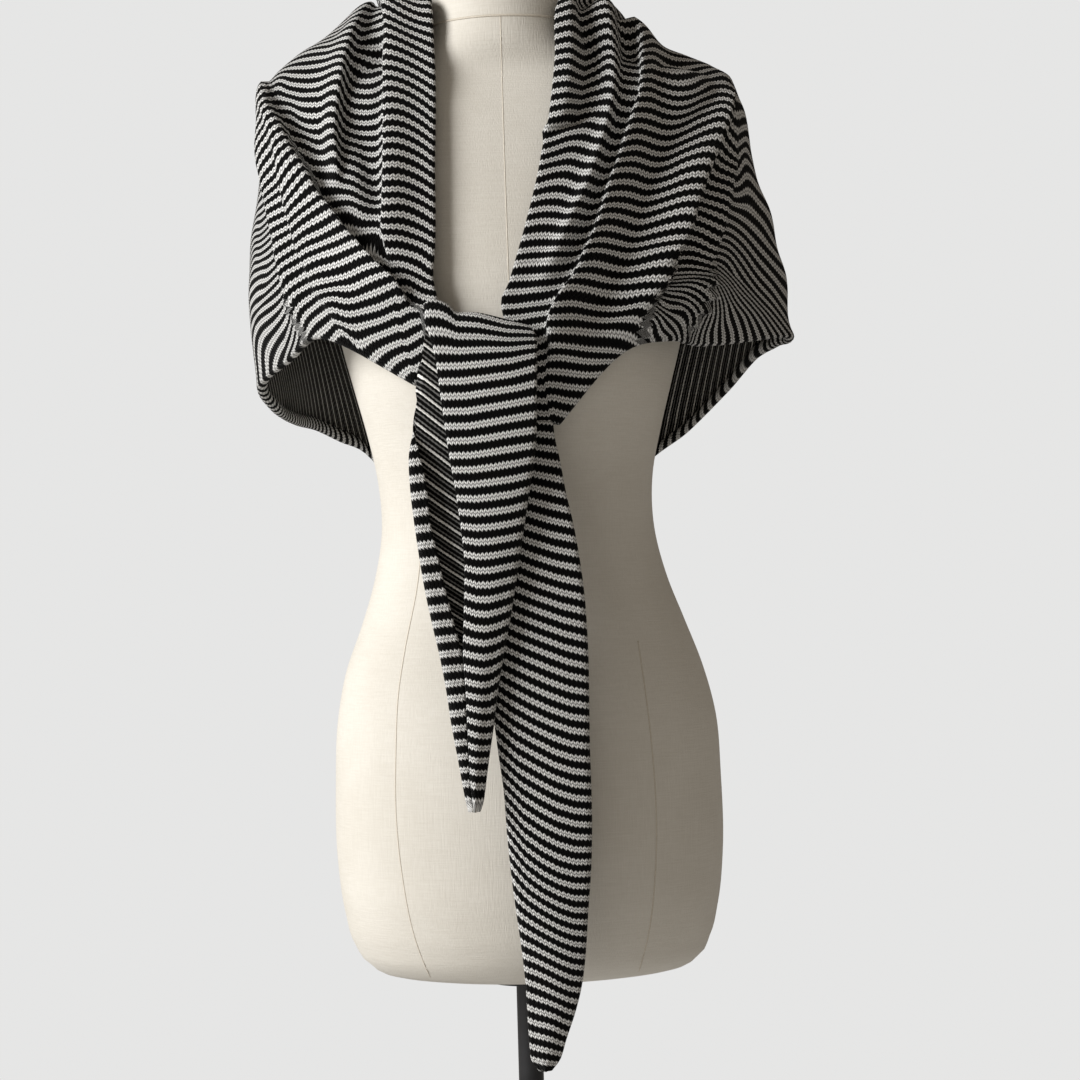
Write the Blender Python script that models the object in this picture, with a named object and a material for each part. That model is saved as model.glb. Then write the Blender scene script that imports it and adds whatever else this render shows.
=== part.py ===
"""Triangle scarf, knitted in stripes, wrapped round a limbless dress form and knotted in front.

World frame: +X is the viewer's right, the form faces -Y, +Z is up. The origin lies on the floor, at the
centre of the stand's base. Tables hold millimetres; MM turns them into metres.
"""
import math
from typing import NamedTuple

import bmesh
import bpy
import numpy as np

MM = 0.001

# ---------------------------------------------------------------- driving sizes, mm
CLOTH = 2.5             # thickness of the knit
SEAT_GAP = 0.35         # between pieces that rest on each other
REST_GAP = 1.9          # between the wrap's inner face and the form, at the cloth's points
HEM_ROLL = 4.0          # radius of the hem, which curls in
HEM_TURN = 150.0        # how far it curls, degrees
NECK_ROLL = 4.0         # radius of the neck edge, which curls in
NECK_TURN = 100.0       # how far it curls, degrees

FORM_BOTTOM = 694.0
POLE_RADIUS = 10.0
FLANGE_RADIUS = 32.0
FLANGE_THICK = 5.0
BASE_RADIUS = 160.0
BASE_THICK = 14.0
SOCKET_RADIUS = 22.0
SOCKET_HEIGHT = 34.0
PLATE_EDGE = 4.0        # bevel of the base plate and its socket

# ---------------------------------------------------------------- mesh fineness
WRAP_PAIRS = 2.1        # widest spacing of the wrap's grid columns, stripe pairs
WRAP_LEAST = 2          # fewest grid columns between two sections of the wrap
WRAP_ROWS = 28          # grid rows from neck edge to hem
ROLL_ROWS = 2           # further rows in each rolled edge
TAIL_STEPS = 2          # grid columns between two sections of a tail
LAYER_STEPS = 3         # grid rows across one layer of a tail
BEND_STEPS = 4          # grid rows round one turn of a tail
CURL_LEAST = 0.5        # shortest curl beyond a tail's left turn, mm
KNOT_RINGS = 5          # rings in each rounded end of the knot
KNOT_SIDES = 24
FORM_SIDES = 40
STAND_SIDES = 36
CURVE_SAMPLES = 200     # samples that measure a section's length

# ---------------------------------------------------------------- how folds fade and cloth clears the form
FADE_REACH = 1.15       # where a fold ends, as a share of half its route
FADE_SPAN = 0.35        # over which share of it the fold fades out
LIFT_ROUNDS = 8         # how often the cloth is moved off the form
LIFT_MOST = 12.0        # most of one such move, mm
LIFT_STEP = 0.5         # step that measures the form's slope, mm
TINY = 1e-9


# ---------------------------------------------------------------- dress form, mm
class Ring(NamedTuple):
    """One level of the torso: height, sideways shift, half width, depth before and behind, squareness."""
    z: float
    shift: float
    half: float
    front: float
    back: float
    power: float


TORSO = (
    Ring(FORM_BOTTOM, 5, 94, 54, 56, 2.0),
    Ring(697, 5, 113, 68, 71, 2.0),
    Ring(706, 5, 131, 82, 86, 2.1),
    Ring(722, 4, 142, 92, 96, 2.1),
    Ring(748, 4, 149, 98, 103, 2.2),
    Ring(790, 4, 154, 101, 107, 2.2),
    Ring(850, 4, 154, 102, 108, 2.2),
    Ring(900, 4, 151, 98, 102, 2.2),
    Ring(940, 3, 142, 92, 90, 2.2),
    Ring(975, 3, 129, 86, 78, 2.2),
    Ring(1010, 2, 117, 81, 70, 2.2),
    Ring(1050, 1, 109, 80, 66, 2.2),
    Ring(1090, 0, 110, 87, 70, 2.2),
    Ring(1125, 0, 117, 99, 78, 2.2),
    Ring(1160, 0, 126, 109, 85, 2.2),
    Ring(1195, 0, 135, 112, 91, 2.2),
    Ring(1235, 0, 143, 107, 96, 2.2),
    Ring(1280, 0, 152, 96, 99, 2.3),
    Ring(1325, 0, 163, 82, 96, 2.3),
    Ring(1360, 0, 171, 71, 88, 2.3),
    Ring(1382, 0, 173, 63, 79, 2.3),
    Ring(1396, 0, 167, 56, 70, 2.2),
    Ring(1405, 0, 152, 52, 64, 2.1),
    Ring(1412, 0, 126, 51, 60, 2.0),
    Ring(1420, 0, 96, 53, 58, 2.0),
    Ring(1430, 0, 74, 56, 57, 2.0),
    Ring(1444, 0, 62, 56, 56, 2.0),
    Ring(1470, 0, 57, 54, 54, 2.0),
    Ring(1500, 0, 56, 53, 53, 2.0),
    Ring(1508, 0, 53, 50, 50, 2.0),
    Ring(1511, 0, 46, 43, 43, 2.0),
)


# ---------------------------------------------------------------- the wrap's sections, mm
class Section(NamedTuple):
    """One stripe across the scarf, from its neck edge to its hem, as it lies on the form.

    pairs counts stripe pairs along the scarf from the middle of the back, positive to the right.
    The six points are the neck edge, the front, the shoulder's turn, the side, behind it, and the hem.
    """
    pairs: float
    neck: tuple
    front: tuple
    turn: tuple
    side: tuple
    behind: tuple
    hem: tuple


WRAP = (
    Section(-48, (-58, -126, 1186), (-61, -126, 1182), (-65, -125, 1177),
            (-69, -124, 1172), (-73, -123, 1167), (-77, -121, 1161)),
    Section(-42, (-57, -122, 1222), (-84, -117, 1221), (-108, -109, 1218),
            (-125, -102, 1213), (-137, -95, 1207), (-145, -89, 1201)),
    Section(-39, (-60, -116, 1243), (-95, -108, 1250), (-130, -93, 1242),
            (-158, -74, 1230), (-174, -58, 1212), (-178, -45, 1186)),
    Section(-37, (-58, -110, 1265), (-92, -104, 1270), (-135, -84, 1264),
            (-175, -54, 1246), (-201, -28, 1224), (-204, -2, 1173)),
    Section(-34, (-57, -102, 1293), (-88, -98, 1300), (-140, -78, 1293),
            (-180, -42, 1276), (-209, -4, 1254), (-202, 38, 1159)),
    Section(-30, (-57, -91, 1331), (-88, -84, 1340), (-140, -66, 1331),
            (-182, -32, 1312), (-205, 6, 1297), (-187, 62, 1149)),
    Section(-26, (-56, -79, 1367), (-88, -71, 1373), (-146, -44, 1369),
            (-193, -12, 1372), (-202, 18, 1340), (-169, 78, 1144)),
    Section(-22, (-56, -66, 1402), (-87, -56, 1406), (-140, -26, 1411),
            (-192, -2, 1411), (-197, 30, 1374), (-149, 92, 1134)),
    Section(-18, (-57, -52, 1435), (-88, -40, 1442), (-138, -6, 1442),
            (-177, 18, 1425), (-184, 50, 1360), (-128, 104, 1120)),
    Section(-14, (-59, -38, 1466), (-88, -24, 1466), (-122, 8, 1463),
            (-150, 34, 1430), (-158, 72, 1345), (-104, 112, 1092)),
    Section(-8, (-66, 2, 1480), (-86, 16, 1474), (-106, 38, 1448),
            (-114, 68, 1395), (-98, 102, 1262), (-55, 118, 1040)),
    Section(0, (0, 72, 1492), (0, 84, 1478), (0, 96, 1430),
            (0, 106, 1360), (0, 116, 1180), (0, 120, 985)),
    Section(8, (66, 2, 1480), (84, 14, 1461), (102, 36, 1436),
            (110, 66, 1392), (96, 100, 1260), (55, 118, 1040)),
    Section(15, (45, -46, 1461), (80, -28, 1461), (119, 2, 1443),
            (148, 28, 1417), (153, 68, 1338), (107, 110, 1102)),
    Section(20, (42, -66, 1414), (78, -49, 1414), (148, -9, 1415),
            (180, 12, 1413), (185, 45, 1345), (147, 95, 1135)),
    Section(25, (36, -84, 1368), (78, -68, 1372), (156, -37, 1374),
            (188, -8, 1380), (199, 22, 1345), (179, 72, 1166)),
    Section(30, (28, -97, 1323), (78, -86, 1320), (153, -55, 1331),
            (182, -22, 1326), (211, 14, 1305), (203, 48, 1191)),
    Section(34, (17, -108, 1281), (75, -97, 1283), (152, -66, 1290),
            (186, -30, 1280), (224, 8, 1249), (224, 24, 1195)),
    Section(37, (8, -115, 1251), (70, -103, 1255), (150, -70, 1257),
            (180, -45, 1240), (202, -24, 1219), (221, -3, 1199)),
    Section(38.5, (3, -118, 1235), (55, -109, 1237), (115, -91, 1238),
            (147, -76, 1232), (157, -63, 1214), (151, -58, 1190)),
    Section(40, (-3, -121, 1219), (46, -114, 1220), (88, -101, 1219),
            (112, -93, 1219), (126, -87, 1210), (129, -83, 1194)),
    Section(43, (4, -124, 1187), (25, -122, 1186), (45, -117, 1186),
            (60, -112, 1185), (73, -107, 1184), (85, -101, 1182)),
    Section(49, (12, -122, 1131), (17, -122, 1131), (21, -122, 1130),
            (25, -122, 1130), (29, -121, 1129), (33, -120, 1128)),
)


class Fold(NamedTuple):
    """A soft ridge, or a trough where height is negative, along a route on the flat scarf.

    Each point of the route is (stripe pairs, distance from the neck edge). The ridge fades out at
    both ends of it. lean moves its crest towards the neck edge, so that it overhangs.
    """
    name: str
    height: float
    half_width: float
    lean: float
    route: tuple


FOLDS = (
    Fold("right border crest", 5, 9, 0, ((12, 10), (20, 9), (28, 9))),
    Fold("right border trough", -5, 8, 0, ((10, 22), (18, 22), (24, 20))),
    Fold("right collar crest", 8, 14, 0, ((6, 38), (20, 37), (26, 28), (31, 15), (40, 12))),
    Fold("right collar trough", -4, 13, 0, ((12, 56), (24, 56), (34, 46), (41, 36))),
    Fold("right middle crest", 10, 15, 3, ((4, 74), (20, 70), (28, 64), (34, 60), (41, 50), (46, 40))),
    Fold("right middle trough", -5, 20, 0, ((8, 98), (22, 94), (34, 88), (41, 78))),
    Fold("right shoulder crest", 9, 17, -4, ((2, 150), (14, 134), (22, 128), (34, 122), (39, 112))),
    Fold("right side crest", 6, 13, -4, ((14, 176), (24, 160), (32, 150), (38, 142))),
    Fold("left border crest", 9, 13, 0, ((-4, 30), (-16, 28), (-38, 28), (-41, 22))),
    Fold("left border trough", -7, 13, 0, ((-14, 52), (-26, 53), (-38, 50))),
    Fold("left collar crest", 12, 16, 3, ((-4, 82), (-16, 76), (-26, 74), (-34, 70))),
    Fold("left collar trough", -6, 14, 0, ((-16, 94), (-26, 92), (-31, 88))),
    Fold("left sling crest", 11, 18, 3, ((-22, 136), (-26, 116), (-32, 86), (-36, 58), (-40, 38))),
    Fold("left side trough", -6, 16, 0, ((-25, 140), (-32, 122), (-37, 104), (-40, 92))),
    Fold("left side crest", 6, 14, 0, ((-20, 176), (-27, 160), (-34, 140), (-39, 120))),
    Fold("back left drape", 8, 22, 0, ((-16, 200), (-10, 260), (-4, 330), (0, 400))),
    Fold("back right drape", 8, 22, 0, ((16, 190), (10, 250), (4, 320), (0, 390))),
    Fold("back yoke left", 6, 24, 0, ((-18, 130), (-8, 170), (2, 190))),
    Fold("back yoke right", 6, 24, 0, ((18, 150), (9, 200), (-2, 240))),
    Fold("back hang left", 6, 18, 0, ((-15, 290), (-11, 360), (-8, 420))),
    Fold("back hang right", 6, 18, 0, ((15, 280), (11, 350), (8, 420))),
)


# ---------------------------------------------------------------- the tails' sections, mm
class TailSection(NamedTuple):
    """One level of a tail, which hangs as a flattened tube that is open along its length.

    x runs from left to right, and y is the front layer's outer face. The short tail is open in front:
    its front layer ends at lip, and the back layer turns at the left and curls forward to curl. The
    long tail is open behind: its back layer ends at curl, and the right edge turns back to lip. gap
    parts the layers, tilt turns the face up where the tail comes over the knot, in degrees, and rise
    is how much higher the right edge of the section lies than its left.
    """
    z: float
    y: float
    tilt: float
    rise: float
    left: float
    curl: float
    lip: float
    right: float
    gap: float


SHORT_TAIL = (
    TailSection(1221, -128.5, 60, -15, -61, -70, -57, 14, 0.5),
    TailSection(1218, -133.5, 30, -15, -64, -70, -60, 17, 0.6),
    TailSection(1206, -136.5, 8, -10, -67, -70, -62, 19, 0.7),
    TailSection(1180, -137.5, 0, -2, -68, -70, -61, 20, 0.8),
    TailSection(1148, -138.0, 0, 8, -73, -62, -55, 20, 0.8),
    TailSection(1106, -139.5, 0, 10, -77, -66, -50, 17, 5.0),
    TailSection(1056, -141.0, 0, 9, -74, -62, -43, 9, 8.0),
    TailSection(1006, -141.0, 0, 8, -67, -51, -41, 3, 8.0),
    TailSection(958, -141.0, 0, 6, -56, -43, -41, -5, 8.0),
    TailSection(910, -141.0, 0, 4, -49, -41, -39, -15, 7.0),
    TailSection(874, -140.5, 0, 2, -47, -41, -39, -24, 5.0),
    TailSection(836, -139.0, 0, 0, -43, -40, -38, -32, 3.0),
)

LONG_TAIL = (
    TailSection(1130.2, -121.5, 0, -3, -36, 14, 26, 34, 1.5),
    TailSection(1106, -122.5, 0, -8, -39, 15, 29, 37, 2.0),
    TailSection(1086, -124.0, 0, -12, -42, 16, 32, 41, 2.5),
    TailSection(1037, -125.5, 0, -14, -44, 18, 40, 49, 4.0),
    TailSection(988, -126.5, 0, -16, -38, 20, 44, 53, 5.0),
    TailSection(910, -128.0, 0, -20, -17, 24, 45, 54, 6.0),
    TailSection(831, -130.0, 0, -22, -9, 24, 43, 53, 7.0),
    TailSection(770, -131.0, 0, -20, -3, 22, 39, 49, 7.0),
    TailSection(716, -131.5, 0, -12, 4, 20, 32, 42, 6.0),
    TailSection(678, -131.5, 0, -6, 6, 16, 23, 33, 5.0),
    TailSection(643, -131.0, 0, 2, 8, 13, 19, 27, 3.0),
)


# ---------------------------------------------------------------- the knot, mm
KNOT_LEFT, KNOT_RIGHT = -50.0, -9.0
KNOT_BACK = -111.3
KNOT_BOTTOM, KNOT_TOP = 1134.0, 1199.0
KNOT_ROUND = 7.0        # rounding of its upper and lower ends
KNOT_SQUARE = 0.6       # exponent of its plan, squarer below 1


# ---------------------------------------------------------------- curves and helpers
def catmull_rom(knots, points, at):
    """Return the smooth curve through points, given at the increasing knots, read at the values."""
    knots = np.asarray(knots, float)
    points = np.asarray(points, float)
    slopes = np.gradient(points, knots, axis=0)
    index = np.clip(np.searchsorted(knots, at, side="right") - 1, 0, len(knots) - 2)
    span = knots[index + 1] - knots[index]
    t = (np.asarray(at, float) - knots[index]) / span
    shape = (-1,) + (1,) * (points.ndim - 1)
    t, span = t.reshape(shape), span.reshape(shape)
    start, end = points[index], points[index + 1]
    return ((2 * t ** 3 - 3 * t ** 2 + 1) * start + (t ** 3 - 2 * t ** 2 + t) * span * slopes[index]
            + (3 * t ** 2 - 2 * t ** 3) * end + (t ** 3 - t ** 2) * span * slopes[index + 1])


def even_curve(points, count):
    """Return count points, evenly spaced along the smooth curve through points."""
    points = np.asarray(points, float)
    chords = np.linalg.norm(np.diff(points, axis=0), axis=1)
    knots = np.concatenate([[0], np.cumsum(chords)])
    fine = catmull_rom(knots, points, np.linspace(0, knots[-1], CURVE_SAMPLES))
    run = np.concatenate([[0], np.cumsum(np.linalg.norm(np.diff(fine, axis=0), axis=1))])
    even = np.linspace(0, run[-1], count)
    return np.stack([np.interp(even, run, fine[:, axis]) for axis in range(3)], axis=1), run[-1]


def unit(vectors):
    """Return the vectors with length 1."""
    return vectors / np.maximum(np.linalg.norm(vectors, axis=-1, keepdims=True), TINY)


def grid_frames(grid):
    """Return the outward unit normals of a grid of points and its unit directions along the rows."""
    along = np.gradient(grid, axis=0)
    across = np.gradient(grid, axis=1)
    return unit(np.cross(along, across)), unit(across)


def material(name, colour, roughness, metallic=0.0):
    """Return a new Principled material."""
    result = bpy.data.materials.new(name)
    result.use_nodes = True
    shader = result.node_tree.nodes["Principled BSDF"]
    shader.inputs["Base Color"].default_value = (*colour, 1)
    shader.inputs["Roughness"].default_value = roughness
    shader.inputs["Metallic"].default_value = metallic
    return result


def add_object(name, bm, finish):
    """Turn a bmesh into a named object with its finish."""
    mesh = bpy.data.meshes.new(name)
    bm.to_mesh(mesh)
    bm.free()
    mesh.materials.append(finish)
    mesh.shade_smooth()
    result = bpy.data.objects.new(name, mesh)
    bpy.context.scene.collection.objects.link(result)
    return result


def cloth_sheet(name, grid, finish):
    """Make a wall of cloth whose outer face is a grid of points, in mm."""
    columns, rows = grid.shape[:2]
    bm = bmesh.new()
    bmesh.ops.create_grid(bm, x_segments=rows - 1, y_segments=columns - 1, size=1)
    for vertex, point in zip(bm.verts, grid.reshape(-1, 3)):
        vertex.co = point * MM
    sheet = add_object(name, bm, finish)
    wall = sheet.modifiers.new("cloth", "SOLIDIFY")
    wall.thickness = CLOTH * MM
    wall.offset = -1
    return sheet


def ring_loft(name, rings, finish):
    """Make a closed solid through rings of points, in mm, with a flat cap at each end."""
    sides = len(rings[0])
    bm = bmesh.new()
    bmesh.ops.create_circle(bm, segments=sides, radius=1)
    loop = list(bm.verts)
    for vertex, point in zip(loop, rings[0]):
        vertex.co = point * MM
    bottom = bm.faces.new(loop)
    edges = list(bm.edges)
    for ring in rings[1:]:
        grown = bmesh.ops.extrude_edge_only(bm, edges=edges)["geom"]
        fresh = {item for item in grown if isinstance(item, bmesh.types.BMVert)}
        edges = [item for item in grown
                 if isinstance(item, bmesh.types.BMEdge) and all(v in fresh for v in item.verts)]
        loop = [next(e.other_vert(v) for e in v.link_edges if e.other_vert(v) in fresh) for v in loop]
        for vertex, point in zip(loop, ring):
            vertex.co = point * MM
    bm.faces.new(loop)
    bottom.normal_flip()
    bmesh.ops.recalc_face_normals(bm, faces=bm.faces)
    return add_object(name, bm, finish)


def turned(name, profile, finish):
    """Turn a closed profile of (radius, height) pairs, in mm, round the Z axis."""
    bm = bmesh.new()
    verts = [bm.verts.new((radius * MM, 0, height * MM)) for radius, height in profile]
    edges = [bm.edges.new(pair) for pair in zip(verts[:-1], verts[1:])]
    bmesh.ops.spin(bm, geom=verts + edges, cent=(0, 0, 0), axis=(0, 0, 1),
                   angle=math.tau, steps=STAND_SIDES, use_merge=True)
    bmesh.ops.remove_doubles(bm, verts=bm.verts, dist=1e-6)
    bmesh.ops.recalc_face_normals(bm, faces=bm.faces)
    return add_object(name, bm, finish)


# ---------------------------------------------------------------- dress form
def torso_at(height):
    """Return the shift, half width, front, back and power of the torso at each height."""
    table = np.array([ring[1:] for ring in TORSO], float)
    levels = [ring.z for ring in TORSO]
    return [np.interp(height, levels, table[:, column]) for column in range(5)]


def torso_reach(points):
    """Return how far out each point lies, as a share of the torso's radius there."""
    shift, half, front, back, power = torso_at(points[..., 2])
    depth = np.where(points[..., 1] < 0, front, back)
    inside = (np.abs(points[..., 0] - shift) / half) ** power + (np.abs(points[..., 1]) / depth) ** power
    reach = np.maximum(inside, TINY) ** (1 / power)
    return np.where(points[..., 2] > TORSO[-1].z, 2.0, reach)


def lift_off_form(points, clearance):
    """Move the points that lie too close to the torso straight away from it."""
    steps = LIFT_STEP * np.eye(3)
    for _ in range(LIFT_ROUNDS):
        slope = np.stack([torso_reach(points + step) - torso_reach(points - step) for step in steps], axis=-1)
        slope = slope / (2 * LIFT_STEP)
        steepness = np.maximum(np.linalg.norm(slope, axis=-1), TINY)
        distance = (torso_reach(points) - 1) / steepness
        short = np.clip(clearance - distance, 0, LIFT_MOST)
        points = points + (slope / steepness[..., None]) * short[..., None]
    return points


def superellipse(ring, sides):
    """Return the points of one ring of the torso."""
    points = []
    for step in range(sides):
        angle = math.tau * step / sides
        cosine, sine = math.cos(angle), math.sin(angle)
        depth = ring.front if sine < 0 else ring.back
        x = math.copysign(ring.half * abs(cosine) ** (2 / ring.power), cosine)
        y = math.copysign(depth * abs(sine) ** (2 / ring.power), sine)
        points.append(np.array((ring.shift + x, y, ring.z)))
    return points


def make_torso(finish):
    """Make the dress form's torso with its closed neck."""
    return ring_loft("form_torso", [superellipse(ring, FORM_SIDES) for ring in TORSO], finish)


# ---------------------------------------------------------------- stand
def make_stand(finish):
    """Make the base plate with its socket, and the pole with its flange under the torso."""
    edge = PLATE_EDGE
    turned("stand_base", (
        (0, 0), (BASE_RADIUS - edge, 0), (BASE_RADIUS, edge), (BASE_RADIUS, BASE_THICK - edge),
        (BASE_RADIUS - edge, BASE_THICK), (SOCKET_RADIUS + edge, BASE_THICK + edge),
        (SOCKET_RADIUS, BASE_THICK + 2 * edge), (SOCKET_RADIUS, SOCKET_HEIGHT - edge / 2),
        (SOCKET_RADIUS - edge / 2, SOCKET_HEIGHT), (0, SOCKET_HEIGHT)), finish)
    top = FORM_BOTTOM - SEAT_GAP
    turned("stand_pole", (
        (0, SOCKET_HEIGHT + SEAT_GAP), (POLE_RADIUS, SOCKET_HEIGHT + SEAT_GAP),
        (POLE_RADIUS, top - FLANGE_THICK), (FLANGE_RADIUS, top - FLANGE_THICK),
        (FLANGE_RADIUS, top), (0, top)), finish)


# ---------------------------------------------------------------- wrap
def fold_relief(pairs, distance):
    """Return how far the folds lift each point of the flat scarf, and how far they lean it."""
    lift = np.zeros_like(pairs)
    lean = np.zeros_like(pairs)
    for fold in FOLDS:
        route = sorted(fold.route)
        stations = [point[0] for point in route]
        line = np.interp(pairs, stations, [point[1] for point in route])
        middle = (stations[0] + stations[-1]) / 2
        reach = (stations[-1] - stations[0]) / 2
        fade = np.clip((FADE_REACH - np.abs(pairs - middle) / reach) / FADE_SPAN, 0, 1)
        fade = fade * fade * (3 - 2 * fade)
        bump = np.exp(-((distance - line) / fold.half_width) ** 2) * fade
        lift += fold.height * bump
        lean += fold.lean * bump
    return lift, lean


def rolled_edge(edge, normal, outward, radius, turn):
    """Return the rows of points that carry an edge on in a roll towards the inside."""
    result = []
    for row in range(1, ROLL_ROWS + 1):
        angle = math.radians(turn) * row / ROLL_ROWS
        result.append(edge + radius * math.sin(angle) * outward - radius * (1 - math.cos(angle)) * normal)
    return np.stack(result, axis=1)


def wrap_grid():
    """Return the points of the wrap's outer face: columns from right tip to left, rows neck to hem."""
    stations = np.array([section.pairs for section in WRAP])
    curves, lengths = zip(*(even_curve(section[1:], WRAP_ROWS) for section in WRAP))
    index = np.arange(len(WRAP))
    steps = np.maximum(np.ceil(np.diff(stations) / WRAP_PAIRS), WRAP_LEAST).astype(int)
    fine = np.concatenate([index[:-1][place] + np.arange(count) / count
                           for place, count in enumerate(steps)] + [index[-1:]])
    grid = catmull_rom(index, np.array(curves), fine)
    length = np.interp(fine, index, lengths)
    pairs, share = np.meshgrid(np.interp(fine, index, stations), np.linspace(0, 1, WRAP_ROWS), indexing="ij")
    normal, across = grid_frames(grid)
    lift, lean = fold_relief(pairs, share * length[:, None])
    grid = grid + normal * lift[..., None] - across * lean[..., None]
    normal, across = grid_frames(grid)
    neck = rolled_edge(grid[:, 0], normal[:, 0], -across[:, 0], NECK_ROLL, NECK_TURN)
    hem = rolled_edge(grid[:, -1], normal[:, -1], across[:, -1], HEM_ROLL, HEM_TURN)
    face = lift_off_form(np.concatenate([neck[:, ::-1], grid, hem], axis=1), CLOTH + REST_GAP)
    return face[::-1]


# ---------------------------------------------------------------- tails and knot
def bend_points(middle, bend, start, end):
    """Return the points of a round turn between two layers, from one angle to another."""
    return [(middle + bend * math.sin(angle), bend - bend * math.cos(angle))
            for angle in np.radians(np.linspace(start, end, BEND_STEPS + 1)[1:])]


def tail_outline(row):
    """Return the outer face of a section that is open in front, as (x, depth behind its face).

    It runs from the front layer's lip to the right turn, along the back layer and round to the curl.
    """
    bend = CLOTH + row.gap / 2
    right, left = row.right - bend, row.left + bend
    points = [(row.lip + (right - row.lip) * step / LAYER_STEPS, 0) for step in range(LAYER_STEPS + 1)]
    points += bend_points(right, bend, 0, 180)
    points += [(right + (left - right) * step / LAYER_STEPS, 2 * bend) for step in range(1, LAYER_STEPS + 1)]
    points += bend_points(left, bend, 180, 360)
    return points + [(max(row.curl, left + CURL_LEAST), 0)]


def tail_grid(table, open_behind):
    """Return the points of a tail's outer face, columns down the tail, rows round its section."""
    columns = []
    for row in table:
        points = tail_outline(row)
        if open_behind:
            thick = 2 * CLOTH + row.gap
            points = [(x, thick - depth) for x, depth in reversed(points)]
        tilt = math.radians(row.tilt)
        behind = np.array((0, math.cos(tilt), -math.sin(tilt)))
        slope = row.rise / (row.right - row.left)
        columns.append([np.array((x, row.y, row.z + (x - row.left) * slope)) + depth * behind
                        for x, depth in points])
    fine = np.linspace(len(table) - 1, 0, (len(table) - 1) * TAIL_STEPS + 1)
    return catmull_rom(np.arange(len(table)), np.array(columns), fine)


def knot_ring(z, inset, face):
    """Return one ring of the knot: a rounded slab between the form and the short tail."""
    middle_x, half_x = (KNOT_LEFT + KNOT_RIGHT) / 2, (KNOT_RIGHT - KNOT_LEFT) / 2 - inset
    middle_y, half_y = (KNOT_BACK + face) / 2, (KNOT_BACK - face) / 2 - inset / 2
    ring = []
    for step in range(KNOT_SIDES):
        angle = math.tau * step / KNOT_SIDES
        cosine, sine = math.cos(angle), math.sin(angle)
        x = math.copysign(abs(cosine) ** KNOT_SQUARE, cosine) * half_x
        y = math.copysign(abs(sine) ** KNOT_SQUARE, sine) * half_y
        ring.append(np.array((middle_x + x, middle_y + y, z)))
    return ring


def make_knot(finish):
    """Make the rounded solid that stands for the knot's hidden turns."""
    face = max(row.y + row.gap for row in SHORT_TAIL[2:5]) + 2 * CLOTH + SEAT_GAP
    rings = []
    for step in range(KNOT_RINGS):
        angle = math.pi / 2 * step / (KNOT_RINGS - 1)
        rings.append(knot_ring(KNOT_BOTTOM + KNOT_ROUND * (1 - math.cos(angle)),
                               KNOT_ROUND * (1 - math.sin(angle)), face))
    for step in range(KNOT_RINGS):
        angle = math.pi / 2 * step / (KNOT_RINGS - 1)
        rings.append(knot_ring(KNOT_TOP - KNOT_ROUND * (1 - math.sin(angle)),
                               KNOT_ROUND * (1 - math.cos(angle)), face))
    return ring_loft("scarf_knot", rings, finish)


def main():
    for item in list(bpy.data.objects):
        bpy.data.objects.remove(item, do_unlink=True)
    knit = material("striped knit", (0.30, 0.30, 0.29), 0.95)
    linen = material("cream linen", (0.80, 0.75, 0.66), 0.85)
    steel = material("dark steel", (0.03, 0.03, 0.035), 0.45, 0.6)
    make_torso(linen)
    make_stand(steel)
    cloth_sheet("scarf_wrap", wrap_grid(), knit)
    make_knot(knit)
    cloth_sheet("scarf_short_tail", tail_grid(SHORT_TAIL, False), knit)
    cloth_sheet("scarf_long_tail", tail_grid(LONG_TAIL, True), knit)


main()
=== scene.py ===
"""Striped knitted triangle scarf, wrapped round a limbless dress form and knotted in front.

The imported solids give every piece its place. The cloth is built again here as thin knitted sheets on the
same sections, with finer folds, rolled edges and stitches; the form gets its linen and its seams.
Tables hold millimetres and stripe pairs; MM turns millimetres into metres.
"""

import logging
import math
from dataclasses import dataclass, field
from enum import Enum
from typing import NamedTuple, Sequence

import bmesh
import bpy
import numpy as np
from mathutils import Matrix, Vector

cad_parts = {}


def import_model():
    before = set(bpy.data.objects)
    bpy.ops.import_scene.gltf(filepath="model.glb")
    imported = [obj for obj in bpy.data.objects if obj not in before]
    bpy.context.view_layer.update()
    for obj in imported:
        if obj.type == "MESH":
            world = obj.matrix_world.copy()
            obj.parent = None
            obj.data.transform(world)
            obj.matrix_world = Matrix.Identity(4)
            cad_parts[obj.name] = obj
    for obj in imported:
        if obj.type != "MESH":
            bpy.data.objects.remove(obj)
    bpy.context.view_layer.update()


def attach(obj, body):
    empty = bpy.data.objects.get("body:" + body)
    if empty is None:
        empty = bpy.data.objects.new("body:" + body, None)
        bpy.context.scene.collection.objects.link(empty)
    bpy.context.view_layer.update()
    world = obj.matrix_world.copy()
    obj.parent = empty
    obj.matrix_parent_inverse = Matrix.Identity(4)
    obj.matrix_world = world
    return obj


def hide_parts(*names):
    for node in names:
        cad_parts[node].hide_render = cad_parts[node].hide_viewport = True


MM = 0.001
TINY = 1e-9
MERGE = 1e-6
LOG = logging.getLogger("scarf")
Colour = tuple[float, float, float]
Point = tuple[float, float, float]


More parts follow.
